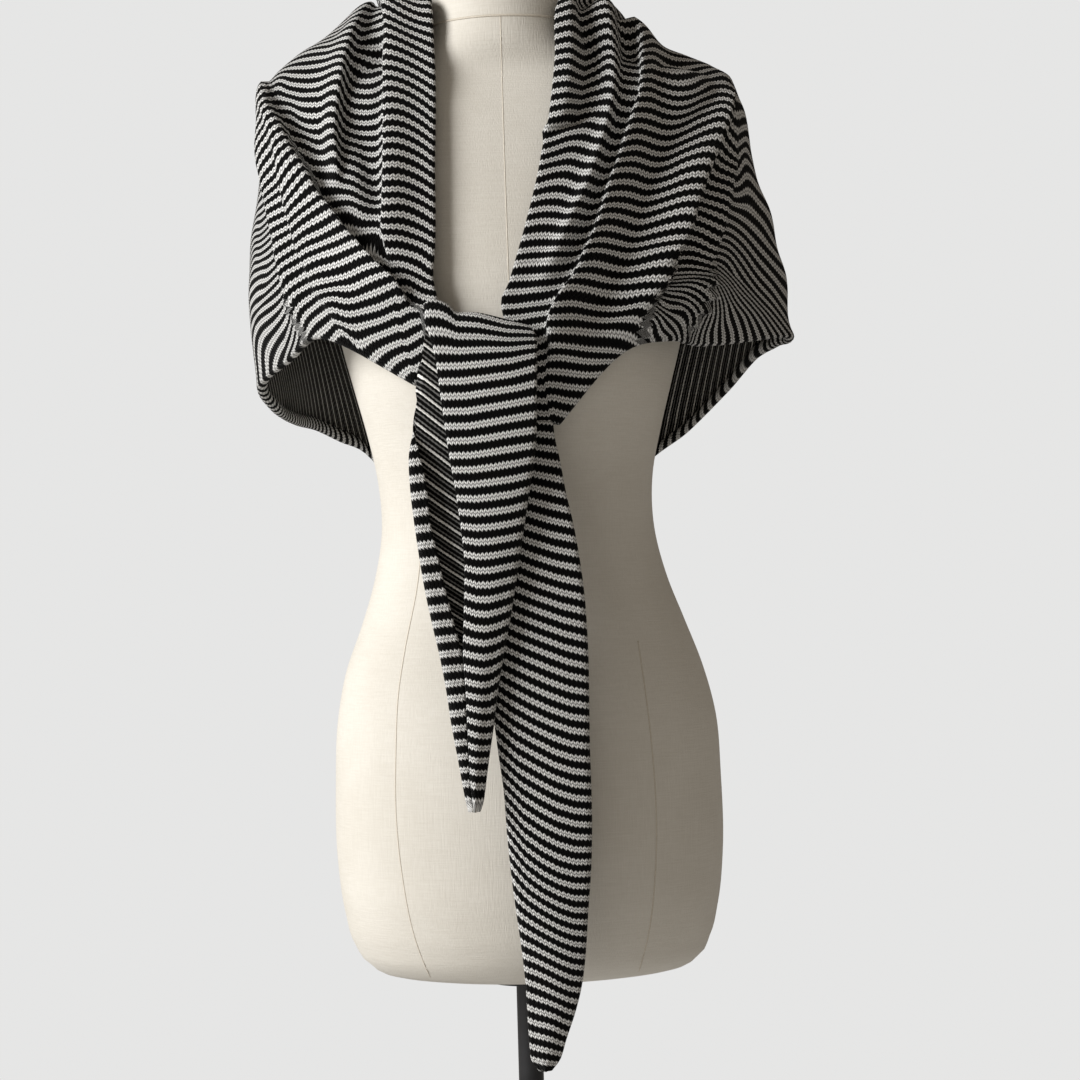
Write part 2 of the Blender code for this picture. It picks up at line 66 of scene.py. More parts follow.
# ---------------------------------------------------------------- curves
def catmull_rom(knots: Sequence[float], points: np.ndarray, at: np.ndarray) -> np.ndarray:
    """Read a smooth curve through points.

    Args:
        knots: Increasing parameter of each point.
        points: Values to pass through, first axis in step with the knots.
        at: Parameters to read the curve at.

    Returns:
        The curve's values, one for each entry of at.
    """
    knots = np.asarray(knots, float)
    points = np.asarray(points, float)
    slopes = np.gradient(points, knots, axis=0)
    index = np.clip(np.searchsorted(knots, at, side="right") - 1, 0, len(knots) - 2)
    span = knots[index + 1] - knots[index]
    t = (np.asarray(at, float) - knots[index]) / span
    shape = (-1,) + (1,) * (points.ndim - 1)
    t, span = t.reshape(shape), span.reshape(shape)
    start, end = points[index], points[index + 1]
    return ((2 * t ** 3 - 3 * t ** 2 + 1) * start + (t ** 3 - 2 * t ** 2 + t) * span * slopes[index]
            + (3 * t ** 2 - 2 * t ** 3) * end + (t ** 3 - t ** 2) * span * slopes[index + 1])


def even_curve(points: Sequence[Point], count: int, trim: float) -> tuple[np.ndarray, np.ndarray]:
    """Space points evenly along a smooth curve.

    Args:
        points: Points that the curve passes through.
        count: How many points to return.
        trim: How far before the curve's end the last point lies.

    Returns:
        The points, and how far along the curve each of them lies.
    """
    places = np.asarray(points, float)
    chords = np.linalg.norm(np.diff(places, axis=0), axis=1)
    knots = np.concatenate([[0], np.cumsum(chords)])
    fine = catmull_rom(knots, places, np.linspace(0, knots[-1], 400))
    run = np.concatenate([[0], np.cumsum(np.linalg.norm(np.diff(fine, axis=0), axis=1))])
    even = np.linspace(0, run[-1] - trim, count)
    return np.stack([np.interp(even, run, fine[:, axis]) for axis in range(3)], axis=1), even


def unit(vectors: np.ndarray) -> np.ndarray:
    """Return the vectors with length 1."""
    return vectors / np.maximum(np.linalg.norm(vectors, axis=-1, keepdims=True), TINY)


def sheet_frames(grid: np.ndarray) -> tuple[np.ndarray, np.ndarray]:
    """Find a grid's directions.

    Args:
        grid: Points of a sheet, columns by rows by three.

    Returns:
        The outward unit normals and the unit directions along the rows.
    """
    along = np.gradient(grid, axis=0)
    across = np.gradient(grid, axis=1)
    return unit(np.cross(along, across)), unit(across)


def smooth_step(value: np.ndarray) -> np.ndarray:
    """Return a soft step from 0 to 1 as value goes from 0 to 1."""
    value = np.clip(value, 0, 1)
    return value * value * (3 - 2 * value)


# ---------------------------------------------------------------- finishes
class Graph:
    """Shader nodes of one material, written as formulas."""

    def __init__(self, name: str) -> None:
        """Start a Principled material.

        Args:
            name: The material's name.
        """
        self.material = bpy.data.materials.new(name)
        self.material.use_nodes = True
        self.tree = self.material.node_tree
        self.shader = self.tree.nodes["Principled BSDF"]

    def node(self, kind: str, **settings: object) -> bpy.types.Node:
        """Add a node.

        Args:
            kind: Blender's name of the node's type.
            settings: The node's properties.

        Returns:
            The node.
        """
        result = self.tree.nodes.new(kind)
        for name, value in settings.items():
            setattr(result, name, value)
        return result

    def feed(self, socket: bpy.types.NodeSocket, value: object) -> None:
        """Link an output to a socket, or set the socket to a value.

        Args:
            socket: A node's input.
            value: Another node's output, a number, a colour or a vector.
        """
        if isinstance(value, bpy.types.NodeSocket):
            self.tree.links.new(value, socket)
        else:
            socket.default_value = value

    def paint(self, colour: object) -> None:
        """Feed the surface's colour."""
        self.feed(self.shader.inputs["Base Color"], colour)

    def surface(self, roughness: float, specular: float = 0.5, sheen: float = 0.0) -> None:
        """Set the values that are even all over the surface, straight on the shader's sockets.

        Args:
            roughness: How matt the surface is.
            specular: How much it mirrors.
            sheen: How much its nap catches the light.
        """
        self.shader.inputs["Roughness"].default_value = roughness
        self.shader.inputs["Specular IOR Level"].default_value = specular
        self.shader.inputs["Sheen Weight"].default_value = sheen

    def math(self, operation: str, *values: object) -> bpy.types.NodeSocket:
        """Add a Math node.

        Args:
            operation: Blender's name of the operation.
            values: Its inputs, outputs of other nodes or numbers.

        Returns:
            The result's socket.
        """
        result = self.node("ShaderNodeMath", operation=operation)
        for socket, value in zip(result.inputs, values):
            self.feed(socket, value)
        return result.outputs[0]

    def ramp(self, value: object, low: float, high: float, start: float = 0, end: float = 1
             ) -> bpy.types.NodeSocket:
        """Map a value smoothly from one range to another.

        Args:
            value: The value.
            low: Where the ramp starts.
            high: Where the ramp ends.
            start: The result up to low.
            end: The result from high on.

        Returns:
            The result's socket.
        """
        result = self.node("ShaderNodeMapRange", interpolation_type="SMOOTHSTEP")
        for socket, given in zip(result.inputs[:5], (value, low, high, start, end)):
            self.feed(socket, given)
        return result.outputs[0]

    def mix(self, factor: object, first: object, second: object, blend: str = "MIX"
            ) -> bpy.types.NodeSocket:
        """Mix two colours.

        Args:
            factor: Share of the second colour.
            first: The first colour, or an output.
            second: The second colour, or an output.
            blend: Blender's name of the way to mix them.

        Returns:
            The mixed colour's socket.
        """
        result = self.node("ShaderNodeMix", data_type="RGBA", blend_type=blend)
        for name, given in (("Factor_Float", factor), ("A_Color", first), ("B_Color", second)):
            socket = next(item for item in result.inputs if item.identifier == name)
            self.feed(socket, (*given, 1) if isinstance(given, tuple) else given)
        return next(item for item in result.outputs if item.identifier == "Result_Color")

    def noise(self, vector: object, scale: float, detail: float = 2) -> bpy.types.NodeSocket:
        """Add a noise texture.

        Args:
            vector: The place that it is read at.
            scale: Its waves in one unit of the place.
            detail: How many finer layers it has.

        Returns:
            The noise, about 0.5 on average.
        """
        result = self.node("ShaderNodeTexNoise")
        for name, given in (("Vector", vector), ("Scale", scale), ("Detail", detail)):
            self.feed(result.inputs[name], given)
        return result.outputs["Fac"]

    def place(self, scale: Point = (1, 1, 1)) -> bpy.types.NodeSocket:
        """Read the place on the piece.

        Args:
            scale: Factors that stretch a pattern along X, Y and Z.

        Returns:
            The place, in metres times the scale.
        """
        result = self.node("ShaderNodeMapping")
        self.feed(result.inputs["Vector"], self.node("ShaderNodeTexCoord").outputs["Object"])
        self.feed(result.inputs["Scale"], scale)
        return result.outputs[0]

    def combine(self, *parts: object) -> bpy.types.NodeSocket:
        """Make a vector or a colour of its parts.

        Args:
            parts: Two or three outputs or numbers.

        Returns:
            The vector's socket.
        """
        result = self.node("ShaderNodeCombineXYZ")
        for socket, part in zip(result.inputs, parts):
            self.feed(socket, part)
        return result.outputs[0]

    def bump(self, height: object, distance: float, strength: float) -> None:
        """Raise the surface.

        Args:
            height: The height, from 0 to 1.
            distance: The height's size in metres.
            strength: How much of it shows.
        """
        result = self.node("ShaderNodeBump")
        for name, given in (("Distance", distance), ("Strength", strength), ("Height", height)):
            self.feed(result.inputs[name], given)
        self.feed(self.shader.inputs["Normal"], result.outputs[0])


class KnitSide(Enum):
    """Which side of the jersey shows."""
    FACE = "face"
    PURL = "purl"


@dataclass(frozen=True)
class StripedKnit:
    """Fine jersey in dark and pale stripes; its UV map counts stripe pairs and metres across.

    stitch is a wale's width in metres, courses and purl_lines are counted in a pair of stripes, zigzag
    is how far a stitch's V reaches along the scarf, in pairs, and edge is where a pale stripe ends, from
    its middle. The stitches' tones are painted light: the darker is painted shade in the gaps between the
    stitches, the lighter a painted highlight on their tops. cloud_tones are the tones of the yarn's own
    unevenness. wander moves the wales, and the stripes' edges in broad and in fine waves.
    """
    stitch: float = 0.0032
    courses: int = 4
    purl_lines: int = 3
    zigzag: float = 0.17
    edge: tuple[float, float] = (0.198, 0.248)
    # painted light: shade painted in the gaps between the stitches and a highlight painted on their tops
    stitch_shade_and_highlight: tuple[float, float] = (0.27, 1.18)
    cloud_tones: tuple[float, float] = (0.72, 1.12)
    wander: tuple[float, float, float] = (0.5, 0.05, 0.045)
    dark: Colour = (0.0022, 0.0021, 0.0020)
    pale: Colour = (0.80, 0.795, 0.775)
    purl_dark: Colour = (0.0025, 0.0023, 0.0021)
    purl_pale: Colour = (0.93, 0.92, 0.88)
    depth: float = 0.0011

    def material(self, side: KnitSide) -> bpy.types.Material:
        """Build the finish of one side.

        Args:
            side: Face with its stripes, or purl with its fine lines.

        Returns:
            The material.
        """
        graph = Graph(f"striped knit {side.value}")
        split = graph.node("ShaderNodeSeparateXYZ")
        graph.feed(split.inputs[0], graph.node("ShaderNodeUVMap", uv_map="knit").outputs[0])
        pairs, across = split.outputs[0], split.outputs[1]
        wales = graph.math("DIVIDE", across, self.stitch)
        place = graph.combine(graph.math("MULTIPLY", pairs, 5.0), wales)
        broad = graph.math("SUBTRACT", graph.noise(place, 0.35, 1), 0.5)
        fine = graph.math("SUBTRACT", graph.noise(place, 2.3, 2), 0.5)
        wales = graph.math("MULTIPLY_ADD", broad, self.wander[0], wales)
        pairs = graph.math("MULTIPLY_ADD", broad, self.wander[1], pairs)
        pairs = graph.math("MULTIPLY_ADD", fine, self.wander[2], pairs)
        pattern = self.face if side is KnitSide.FACE else self.purl
        colour, height = pattern(graph, pairs, wales)
        cloud = graph.ramp(fine, -0.3, 0.3, *self.cloud_tones)
        graph.paint(graph.mix(1.0, colour, graph.combine(cloud, cloud, cloud), "MULTIPLY"))
        graph.bump(graph.math("MULTIPLY_ADD", fine, 0.5, height), self.depth, 0.8)
        graph.surface(roughness=0.93, specular=0.06, sheen=0.04)
        return graph.material

    def face(self, graph: Graph, pairs: object, wales: object) -> tuple[object, object]:
        """Write the stripes whose edges follow the V of each stitch.

        Args:
            graph: The material's nodes.
            pairs: Stripe pairs along the scarf; a pale stripe's middle is at each whole number.
            wales: Columns of stitches across the scarf.

        Returns:
            The colour, with painted shade in the gaps between the stitches and a painted highlight on their
            tops, and the height of the yarn.
        """
        leg = graph.math("MULTIPLY", graph.math("PINGPONG", wales, 0.5), 2)
        course = graph.math("MULTIPLY_ADD", leg, self.zigzag, pairs)
        course = graph.math("SUBTRACT", course, self.zigzag / 2)
        pale = graph.ramp(graph.math("PINGPONG", course, 0.5), *self.edge, 1, 0)
        row = graph.math("PINGPONG", graph.math("MULTIPLY", course, self.courses), 0.5)
        side = graph.math("SINE", graph.math("MULTIPLY", leg, math.pi))
        yarn = graph.math("MULTIPLY", graph.ramp(side, 0, 0.75, 0.25, 1),
                          graph.ramp(row, 0, 0.375, 0.15, 1))
        # Painted shade in the gaps between the stitches and a painted highlight on the yarn's top, multiplied
        # into the stripes' colour.
        tone = graph.ramp(yarn, 0.05, 0.9, *self.stitch_shade_and_highlight)
        colour = graph.mix(pale, self.dark, self.pale)
        return graph.mix(1.0, colour, graph.combine(tone, tone, tone), "MULTIPLY"), yarn

    def purl(self, graph: Graph, pairs: object, wales: object) -> tuple[object, object]:
        """Write the fine beaded lines of the jersey's wrong side.

        Args:
            graph: The material's nodes.
            pairs: Stripe pairs along the scarf.
            wales: Columns of stitches across the scarf.

        Returns:
            The colour and the height of the yarn.
        """
        line = graph.math("PINGPONG", graph.math("MULTIPLY", pairs, self.purl_lines), 0.5)
        bead = graph.math("PINGPONG", wales, 0.5)
        middle = graph.math("PINGPONG", pairs, 0.5)
        edge = graph.math("MULTIPLY_ADD", bead, 0.16, line)
        wide = graph.math("SUBTRACT", edge, graph.ramp(middle, 0.17, 0.33, 0.06, -0.05))
        lit = graph.ramp(middle, 0.1, 0.3, 1, 0.22)
        pale = graph.math("MULTIPLY", graph.ramp(wide, 0.19, 0.28, 1, 0), lit)
        height = graph.math("MULTIPLY", graph.math("SUBTRACT", 0.5, line), 2)
        return graph.mix(pale, self.purl_dark, self.purl_pale), height


@dataclass(frozen=True)
class Linen:
    """Cream linen stretched over the form, with slubs both ways.

    thread is the height of the threads in metres; slub and fineness are the waves in a metre along a
    thread and across it.
    """
    thread: float = 0.0007
    slub: tuple[float, float] = (60, 50)
    fineness: float = 1300
    cream: Colour = (0.745, 0.71, 0.64)
    shade: Colour = (0.62, 0.58, 0.505)

    def material(self) -> bpy.types.Material:
        """Build the cloth of the form.

        Returns:
            The material.
        """
        graph = Graph("cream linen")
        weft = graph.noise(graph.place((self.slub[0], self.slub[0], self.fineness)), 1.0)
        warp = graph.noise(graph.place((self.fineness, self.fineness, self.slub[1])), 1.0)
        cloud = graph.ramp(graph.noise(graph.place(), 14.0, 3), 0.35, 0.65)
        threads = graph.math("ADD", weft, warp)
        tone = graph.math("ADD", graph.math("MULTIPLY", graph.ramp(threads, 0.7, 1.3), 0.35),
                          graph.math("MULTIPLY", cloud, 0.25))
        graph.paint(graph.mix(tone, self.cream, self.shade))
        graph.bump(threads, self.thread, 0.35)
        graph.surface(roughness=0.85, specular=0.2, sheen=0.1)
        return graph.material


@dataclass(frozen=True)
class SeamThread:
    """The turned edges of a seam in the linen, a little darker than the cloth."""
    colour: Colour = (0.56, 0.51, 0.43)
    lighter: float = 1.35

    def material(self) -> bpy.types.Material:
        """Build the seam's finish.

        Returns:
            The material.
        """
        graph = Graph("linen seam")
        lit = tuple(part * self.lighter for part in self.colour)
        graph.paint(graph.mix(graph.noise(graph.place(), 900.0, 1), self.colour, lit))
        graph.surface(roughness=0.9)
        return graph.material


@dataclass(frozen=True)
class DarkSteel:
    """Satin black paint on the pole and the base, a little lighter and rougher where it is worn."""
    colour: Colour = (0.012, 0.012, 0.013)
    lighter: float = 1.8
    metal: float = 0.3

    def material(self) -> bpy.types.Material:
        """Build the paint.

        Returns:
            The material.
        """
        graph = Graph("dark paint")
        wear = graph.noise(graph.place(), 35.0, 4)
        worn = tuple(part * self.lighter for part in self.colour)
        graph.paint(graph.mix(graph.ramp(wear, 0.4, 0.7), self.colour, worn))
        graph.feed(graph.shader.inputs["Roughness"], graph.ramp(wear, 0.3, 0.7, 0.34, 0.5))
        graph.bump(graph.noise(graph.place(), 700.0), 0.0002, 0.2)
        graph.shader.inputs["Metallic"].default_value = self.metal
        return graph.material


# ---------------------------------------------------------------- pieces
def finished(name: str, bm: bmesh.types.BMesh, materials: Sequence[bpy.types.Material]) -> bpy.types.Object:
    """Turn a bmesh into a smooth object.

    Args:
        name: The piece's name.
        bm: Its mesh, in metres; it is freed.
        materials: Its finishes, in slot order.

    Returns:
        The object.
    """
    mesh = bpy.data.meshes.new(name)
    bm.to_mesh(mesh)
    bm.free()
    for item in materials:
        mesh.materials.append(item)
    mesh.shade_smooth()
    result = bpy.data.objects.new(name, mesh)
    bpy.context.scene.collection.objects.link(result)
    LOG.info("%s: %d faces", name, len(mesh.polygons))
    return result


def place_piece(piece: bpy.types.Object, slot: str, *nodes: str) -> bpy.types.Object:
    """Ride a piece on the body and hide the solids that it stands for.

    Args:
        piece: The piece.
        slot: The record's material slot; it is not used.
        nodes: The solids' names.

    Returns:
        The piece.
    """
    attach(piece, "root")
    if nodes:
        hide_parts(*nodes)
    return piece


def give_wall(piece: bpy.types.Object, thickness: float, inside: int = 0) -> None:
    """Give a surface its thickness, inwards.

    Args:
        piece: The piece, whose faces are the wall's outside.
        thickness: The wall in mm.
        inside: How many material slots further on the inside's finish is.
    """
    shell = piece.modifiers.new("wall", "SOLIDIFY")
    shell.thickness = thickness * MM
    shell.offset = -1
    shell.material_offset = inside
    shell.material_offset_rim = 0


def stacked_skin(rings: Sequence[np.ndarray]) -> bmesh.types.BMesh:
    """Stretch a closed skin over a stack of rings.

    Args:
        rings: The points of each ring in mm, from one end to the other.

    Returns:
        The skin in metres, with its faces turned outwards.
    """
    bm = bmesh.new()
    bmesh.ops.create_circle(bm, segments=len(rings[0]), radius=1)
    loop, edges = list(bm.verts), list(bm.edges)
    for number, ring in enumerate(rings):
        if number:
            grown = bmesh.ops.extrude_edge_only(bm, edges=edges)["geom"]
            fresh = {item for item in grown if isinstance(item, bmesh.types.BMVert)}
            edges = [item for item in grown
                     if isinstance(item, bmesh.types.BMEdge) and all(v in fresh for v in item.verts)]
            loop = [next(e.other_vert(v) for e in v.link_edges if e.other_vert(v) in fresh) for v in loop]
        for vertex, point in zip(loop, ring):
            vertex.co = Vector(point) * MM
        if number in (0, len(rings) - 1):
            bm.faces.new(loop)
    bmesh.ops.recalc_face_normals(bm, faces=bm.faces)
    return bm


def knit_sheet(name: str, grid: np.ndarray, uv: np.ndarray, wall: float,
               materials: Sequence[bpy.types.Material]) -> bpy.types.Object:
    """Make a wall of knit whose outer face is a grid of points.

    Args:
        name: The piece's name.
        grid: Points in mm, columns by rows by three, wound so that the cloth's face is outside.
        uv: Stripe pairs and metres across at each point.
        wall: Thickness in mm.
        materials: The face's finish and the inside's.

    Returns:
        The sheet.
    """
    columns, rows = grid.shape[:2]
    bm = bmesh.new()
    bmesh.ops.create_grid(bm, x_segments=rows - 1, y_segments=columns - 1, size=1)
    layer = bm.loops.layers.uv.new("knit")
    for vertex, point in zip(bm.verts, grid.reshape(-1, 3)):
        vertex.co = point * MM
    flat_uv = uv.reshape(-1, 2)
    bm.verts.index_update()
    for face in bm.faces:
        for loop in face.loops:
            loop[layer].uv = flat_uv[loop.vert.index]
    sheet = finished(name, bm, materials)
    give_wall(sheet, wall, inside=1)
    return sheet


class Ring(NamedTuple):
    """One level of the torso: height, sideways shift, half width, depth before and behind, squareness."""
    z: float
    shift: float
    half: float
    front: float
    back: float
    power: float


@dataclass
class DressForm:
    """The limbless torso in cream linen, with its seams."""
    linen: bpy.types.Material
    thread: bpy.types.Material
    sides: int = 128
    rings: int = 150
    inset: float = 0.25
    seam_half: float = 0.5
    seam_proud: float = 0.3
    seam_sunk: float = 0.05
    seam_thick: float = 0.4
    seam_steps: int = 160
    neck_seam_z: float = 1449.5
    levels: tuple[Ring, ...] = tuple(Ring(*row) for row in (
        (694, 5, 94, 54, 56, 2.0), (697, 5, 113, 68, 71, 2.0), (706, 5, 131, 82, 86, 2.1),
        (722, 4, 142, 92, 96, 2.1), (748, 4, 149, 98, 103, 2.2), (790, 4, 154, 101, 107, 2.2),
        (850, 4, 154, 102, 108, 2.2), (900, 4, 151, 98, 102, 2.2), (940, 3, 142, 92, 90, 2.2),
        (975, 3, 129, 86, 78, 2.2), (1010, 2, 117, 81, 70, 2.2), (1050, 1, 109, 80, 66, 2.2),
        (1090, 0, 110, 87, 70, 2.2), (1125, 0, 117, 99, 78, 2.2), (1160, 0, 126, 109, 85, 2.2),
        (1195, 0, 135, 112, 91, 2.2), (1235, 0, 143, 107, 96, 2.2), (1280, 0, 152, 96, 99, 2.3),
        (1325, 0, 163, 82, 96, 2.3), (1360, 0, 171, 71, 88, 2.3), (1382, 0, 173, 63, 79, 2.3),
        (1396, 0, 167, 56, 70, 2.2), (1405, 0, 152, 52, 64, 2.1), (1412, 0, 126, 51, 60, 2.0),
        (1420, 0, 96, 53, 58, 2.0), (1430, 0, 74, 56, 57, 2.0), (1444, 0, 62, 56, 56, 2.0),
        (1470, 0, 57, 54, 54, 2.0), (1500, 0, 56, 53, 53, 2.0), (1508, 0, 53, 50, 50, 2.0),
        (1511, 0, 46, 43, 43, 2.0)))
    seams: dict[str, tuple[tuple[float, float], ...]] = field(default_factory=lambda: {
        "centre_front": (
            (1450, -1.5), (1400, -1.5), (1330, -1), (1230, 0), (1100, 0), (900, 0), (760, 0), (700, 0)),
        "princess_left": ((1150, -70), (1060, -72), (1006, -78), (960, -88), (925, -94), (880, -97),
                          (830, -98), (780, -94), (735, -86), (703, -76)),
        "princess_right": ((960, 92), (925, 96), (880, 100), (830, 102), (780, 100), (735, 94), (703, 86))})

    def at(self, height: np.ndarray) -> np.ndarray:
        """Read the torso's sizes between its rings.

        Args:
            height: Heights in mm.

        Returns:
            Shift, half width, front, back and power at each height, one row each.
        """
        levels = [ring.z for ring in self.levels]
        table = np.array([ring[1:] for ring in self.levels], float)
        return catmull_rom(levels, table, np.clip(height, levels[0], levels[-1]))

    def ring_points(self, z: float, sides: int) -> np.ndarray:
        """Find the points of one level.

        Args:
            z: The level's height in mm.
            sides: How many points there are.

        Returns:
            The points in mm.
        """
        shift, half, front, back, power = self.at(np.array([z]))[0]
        angle = np.arange(sides) * math.tau / sides
        cosine, sine = np.cos(angle), np.sin(angle)
        depth = np.where(sine < 0, front, back) - self.inset
        x = np.copysign((half - self.inset) * np.abs(cosine) ** (2 / power), cosine)
        y = np.copysign(depth * np.abs(sine) ** (2 / power), sine)
        return np.stack([shift + x, y, np.full(sides, z)], axis=1)

    def front_at(self, x: float, z: float) -> float:
        """Find the torso's front.

        Args:
            x: Sideways place in mm.
            z: Height in mm.

        Returns:
            The front's Y in mm.
        """
        shift, half, front, _, power = self.at(np.array([z]))[0]
        share = min(abs(x - shift) / half, 0.999)
        return -(front - self.inset) * (1 - share ** power) ** (1 / power)

    def torso(self) -> bpy.types.Object:
        """Build the padded torso as one closed skin.

        Returns:
            The torso.
        """
        low, high = self.levels[0].z, self.levels[-1].z
        ends = np.array([0, 1, 2, 3, 5, 8])
        heights = np.concatenate([low + ends, np.linspace(low + 12, high - 8, self.rings), high - ends[::-1]])
        bm = stacked_skin([self.ring_points(z, self.sides) for z in heights])
        return place_piece(finished("linen_torso", bm, [self.linen]), "linen", "form_torso")

    def strip(self, name: str, rows: np.ndarray) -> bpy.types.Object:
        """Build a seam as a narrow strip that lies on the torso.

        Args:
            name: The seam's name.
            rows: Three points across the seam at each step along it, in mm.

        Returns:
            The strip.
        """
        bm = bmesh.new()
        bmesh.ops.create_grid(bm, x_segments=2, y_segments=len(rows) - 1, size=1)
        for vertex, point in zip(bm.verts, rows.reshape(-1, 3)):
            vertex.co = Vector(point) * MM
        bmesh.ops.remove_doubles(bm, verts=bm.verts, dist=MERGE)
        bmesh.ops.reverse_faces(bm, faces=bm.faces)
        piece = finished(f"seam_{name}", bm, [self.thread])
        give_wall(piece, self.seam_thick)
        return place_piece(piece, "linen")

    def seam(self, name: str, line: Sequence[tuple[float, float]]) -> bpy.types.Object:
        """Build one seam down the torso's front.

        Args:
            name: The seam's name.
            line: Height and sideways place of its points in mm, from the top down.

        Returns:
            The seam.
        """
        table = np.array(line, float)
        heights = np.linspace(table[0, 0], table[-1, 0], self.seam_steps)
        rows = []
        for z, middle in zip(heights, catmull_rom(-table[:, 0], table[:, 1], -heights)):
            places = [middle + side * self.seam_half for side in (-1, 0, 1)]
            rows.append([(x, self.front_at(x, z) - proud, z)
                         for x, proud in zip(places, (-self.seam_sunk, self.seam_proud, -self.seam_sunk))])
        return self.strip(name, np.array(rows))

    def neck_seam(self) -> bpy.types.Object:
        """Build the seam round the neck's top.

        Returns:
            The seam.
        """
        rings = []
        for offset, wider in ((0.7, 0.999), (0, 1.006), (-0.7, 0.999)):
            ring = self.ring_points(self.neck_seam_z + offset, self.seam_steps) * (wider, wider, 1)
            rings.append(np.concatenate([ring, ring[:1]]))
        return self.strip("neck", np.stack(rings, axis=1))

    def build(self) -> list[bpy.types.Object]:
        """Build the torso and its seams."""
        return [self.torso(), *(self.seam(name, line) for name, line in self.seams.items()), self.neck_seam()]


@dataclass
class Stand:
    """The pole and the base plate, turned round the Z axis."""
    paint: bpy.types.Material
    pole: float = 10.0
    flange: float = 32.0
    flange_thick: float = 5.0
    base: float = 160.0
    thick: float = 14.0
    socket: float = 22.0
    socket_top: float = 34.0
    seat: float = 0.35
    top: float = 694.0
    steps: int = 96
    sharp: float = 0.5

    def turned(self, name: str, profile: Sequence[tuple[float, float]], bevel: float,
               node: str) -> bpy.types.Object:
        """Turn a profile of radii and heights into a bevelled piece.

        Args:
            name: The piece's name.
            profile: Radius and height of its points, in mm, from the axis round to the axis.
            bevel: Width of the rounded edges, in mm.
            node: The solid that it replaces.

        Returns:
            The piece.
        """
        bm = bmesh.new()
        verts = [bm.verts.new((radius * MM, 0, height * MM)) for radius, height in profile]
        edges = [bm.edges.new(pair) for pair in zip(verts[:-1], verts[1:])]
        bmesh.ops.spin(bm, geom=verts + edges, cent=(0, 0, 0), axis=(0, 0, 1), angle=math.tau,
                       steps=self.steps, use_merge=True)
        bmesh.ops.remove_doubles(bm, verts=bm.verts, dist=MERGE)
        bmesh.ops.recalc_face_normals(bm, faces=bm.faces)
        sharp = [edge for edge in bm.edges if edge.calc_face_angle(0) > self.sharp]
        bmesh.ops.bevel(bm, geom=sharp, offset=bevel * MM, offset_type="OFFSET", segments=3,
                        profile=0.5, affect="EDGES", material=-1)
        return place_piece(finished(name, bm, [self.paint]), "steel", node)

    def build(self) -> list[bpy.types.Object]:
        """Build the stand.

        Returns:
            The base plate with its socket, and the pole with its flange.
        """
        base = self.turned("base_plate", (
            (0, 0), (self.base, 0), (self.base, self.thick), (self.socket + 4, self.thick + 4),
            (self.socket, self.thick + 8), (self.socket, self.socket_top), (0, self.socket_top)),
            2.5, "stand_base")
        top, foot = self.top - self.seat, self.socket_top + self.seat
        pole = self.turned("pole", (
            (0, foot), (self.pole, foot), (self.pole, top - self.flange_thick),
            (self.flange, top - self.flange_thick), (self.flange, top), (0, top)), 0.8, "stand_pole")
        return [base, pole]


class Section(NamedTuple):
    """One stripe across the scarf, from its neck edge to its hem, as it lies on the form.

    pairs counts stripe pairs along the scarf from the middle of the back, positive to the right.
    The six points are the neck edge, the front, the shoulder's turn, the side, behind it, and the hem.
    """
    pairs: float
    neck: Point
    front: Point
    turn: Point
    side: Point
    behind: Point
    hem: Point


class Fold(NamedTuple):
    """A soft ridge, or a trough where height is negative, along a route on the flat scarf.

    Each point of the route is (stripe pairs, distance from the neck edge, share of the fold's height).
    near and far are its half widths towards the neck edge and towards the hem. lean moves its crest
    towards the neck edge, so that it overhangs the cloth beside it. slip is how many stripe pairs its
    tuck hides, given as (stripe pairs, hidden pairs).
    """
    name: str
    height: float
    near: float
    far: float
    lean: float
    route: tuple[Point, ...]
    slip: tuple[tuple[float, float], ...] = ()


class StripeShift(NamedTuple):
    """How far the stripes are moved at one station, in hundredths of a pair.

    There is a value for each distance from the neck edge in SHIFT_RUNS, in mm. The values, and the slips
    of the folds, were fitted to where the stripes lie in the photo; they aren't worked out from the
    cloth that the folds take up.
    """
    pairs: float
    hundredths: tuple[int, ...]


SHIFT_RUNS = (-5, 7, 19, 31, 43, 55, 67, 79, 91, 103, 115, 127, 139, 151, 163, 176, 192, 212, 240,
    275)

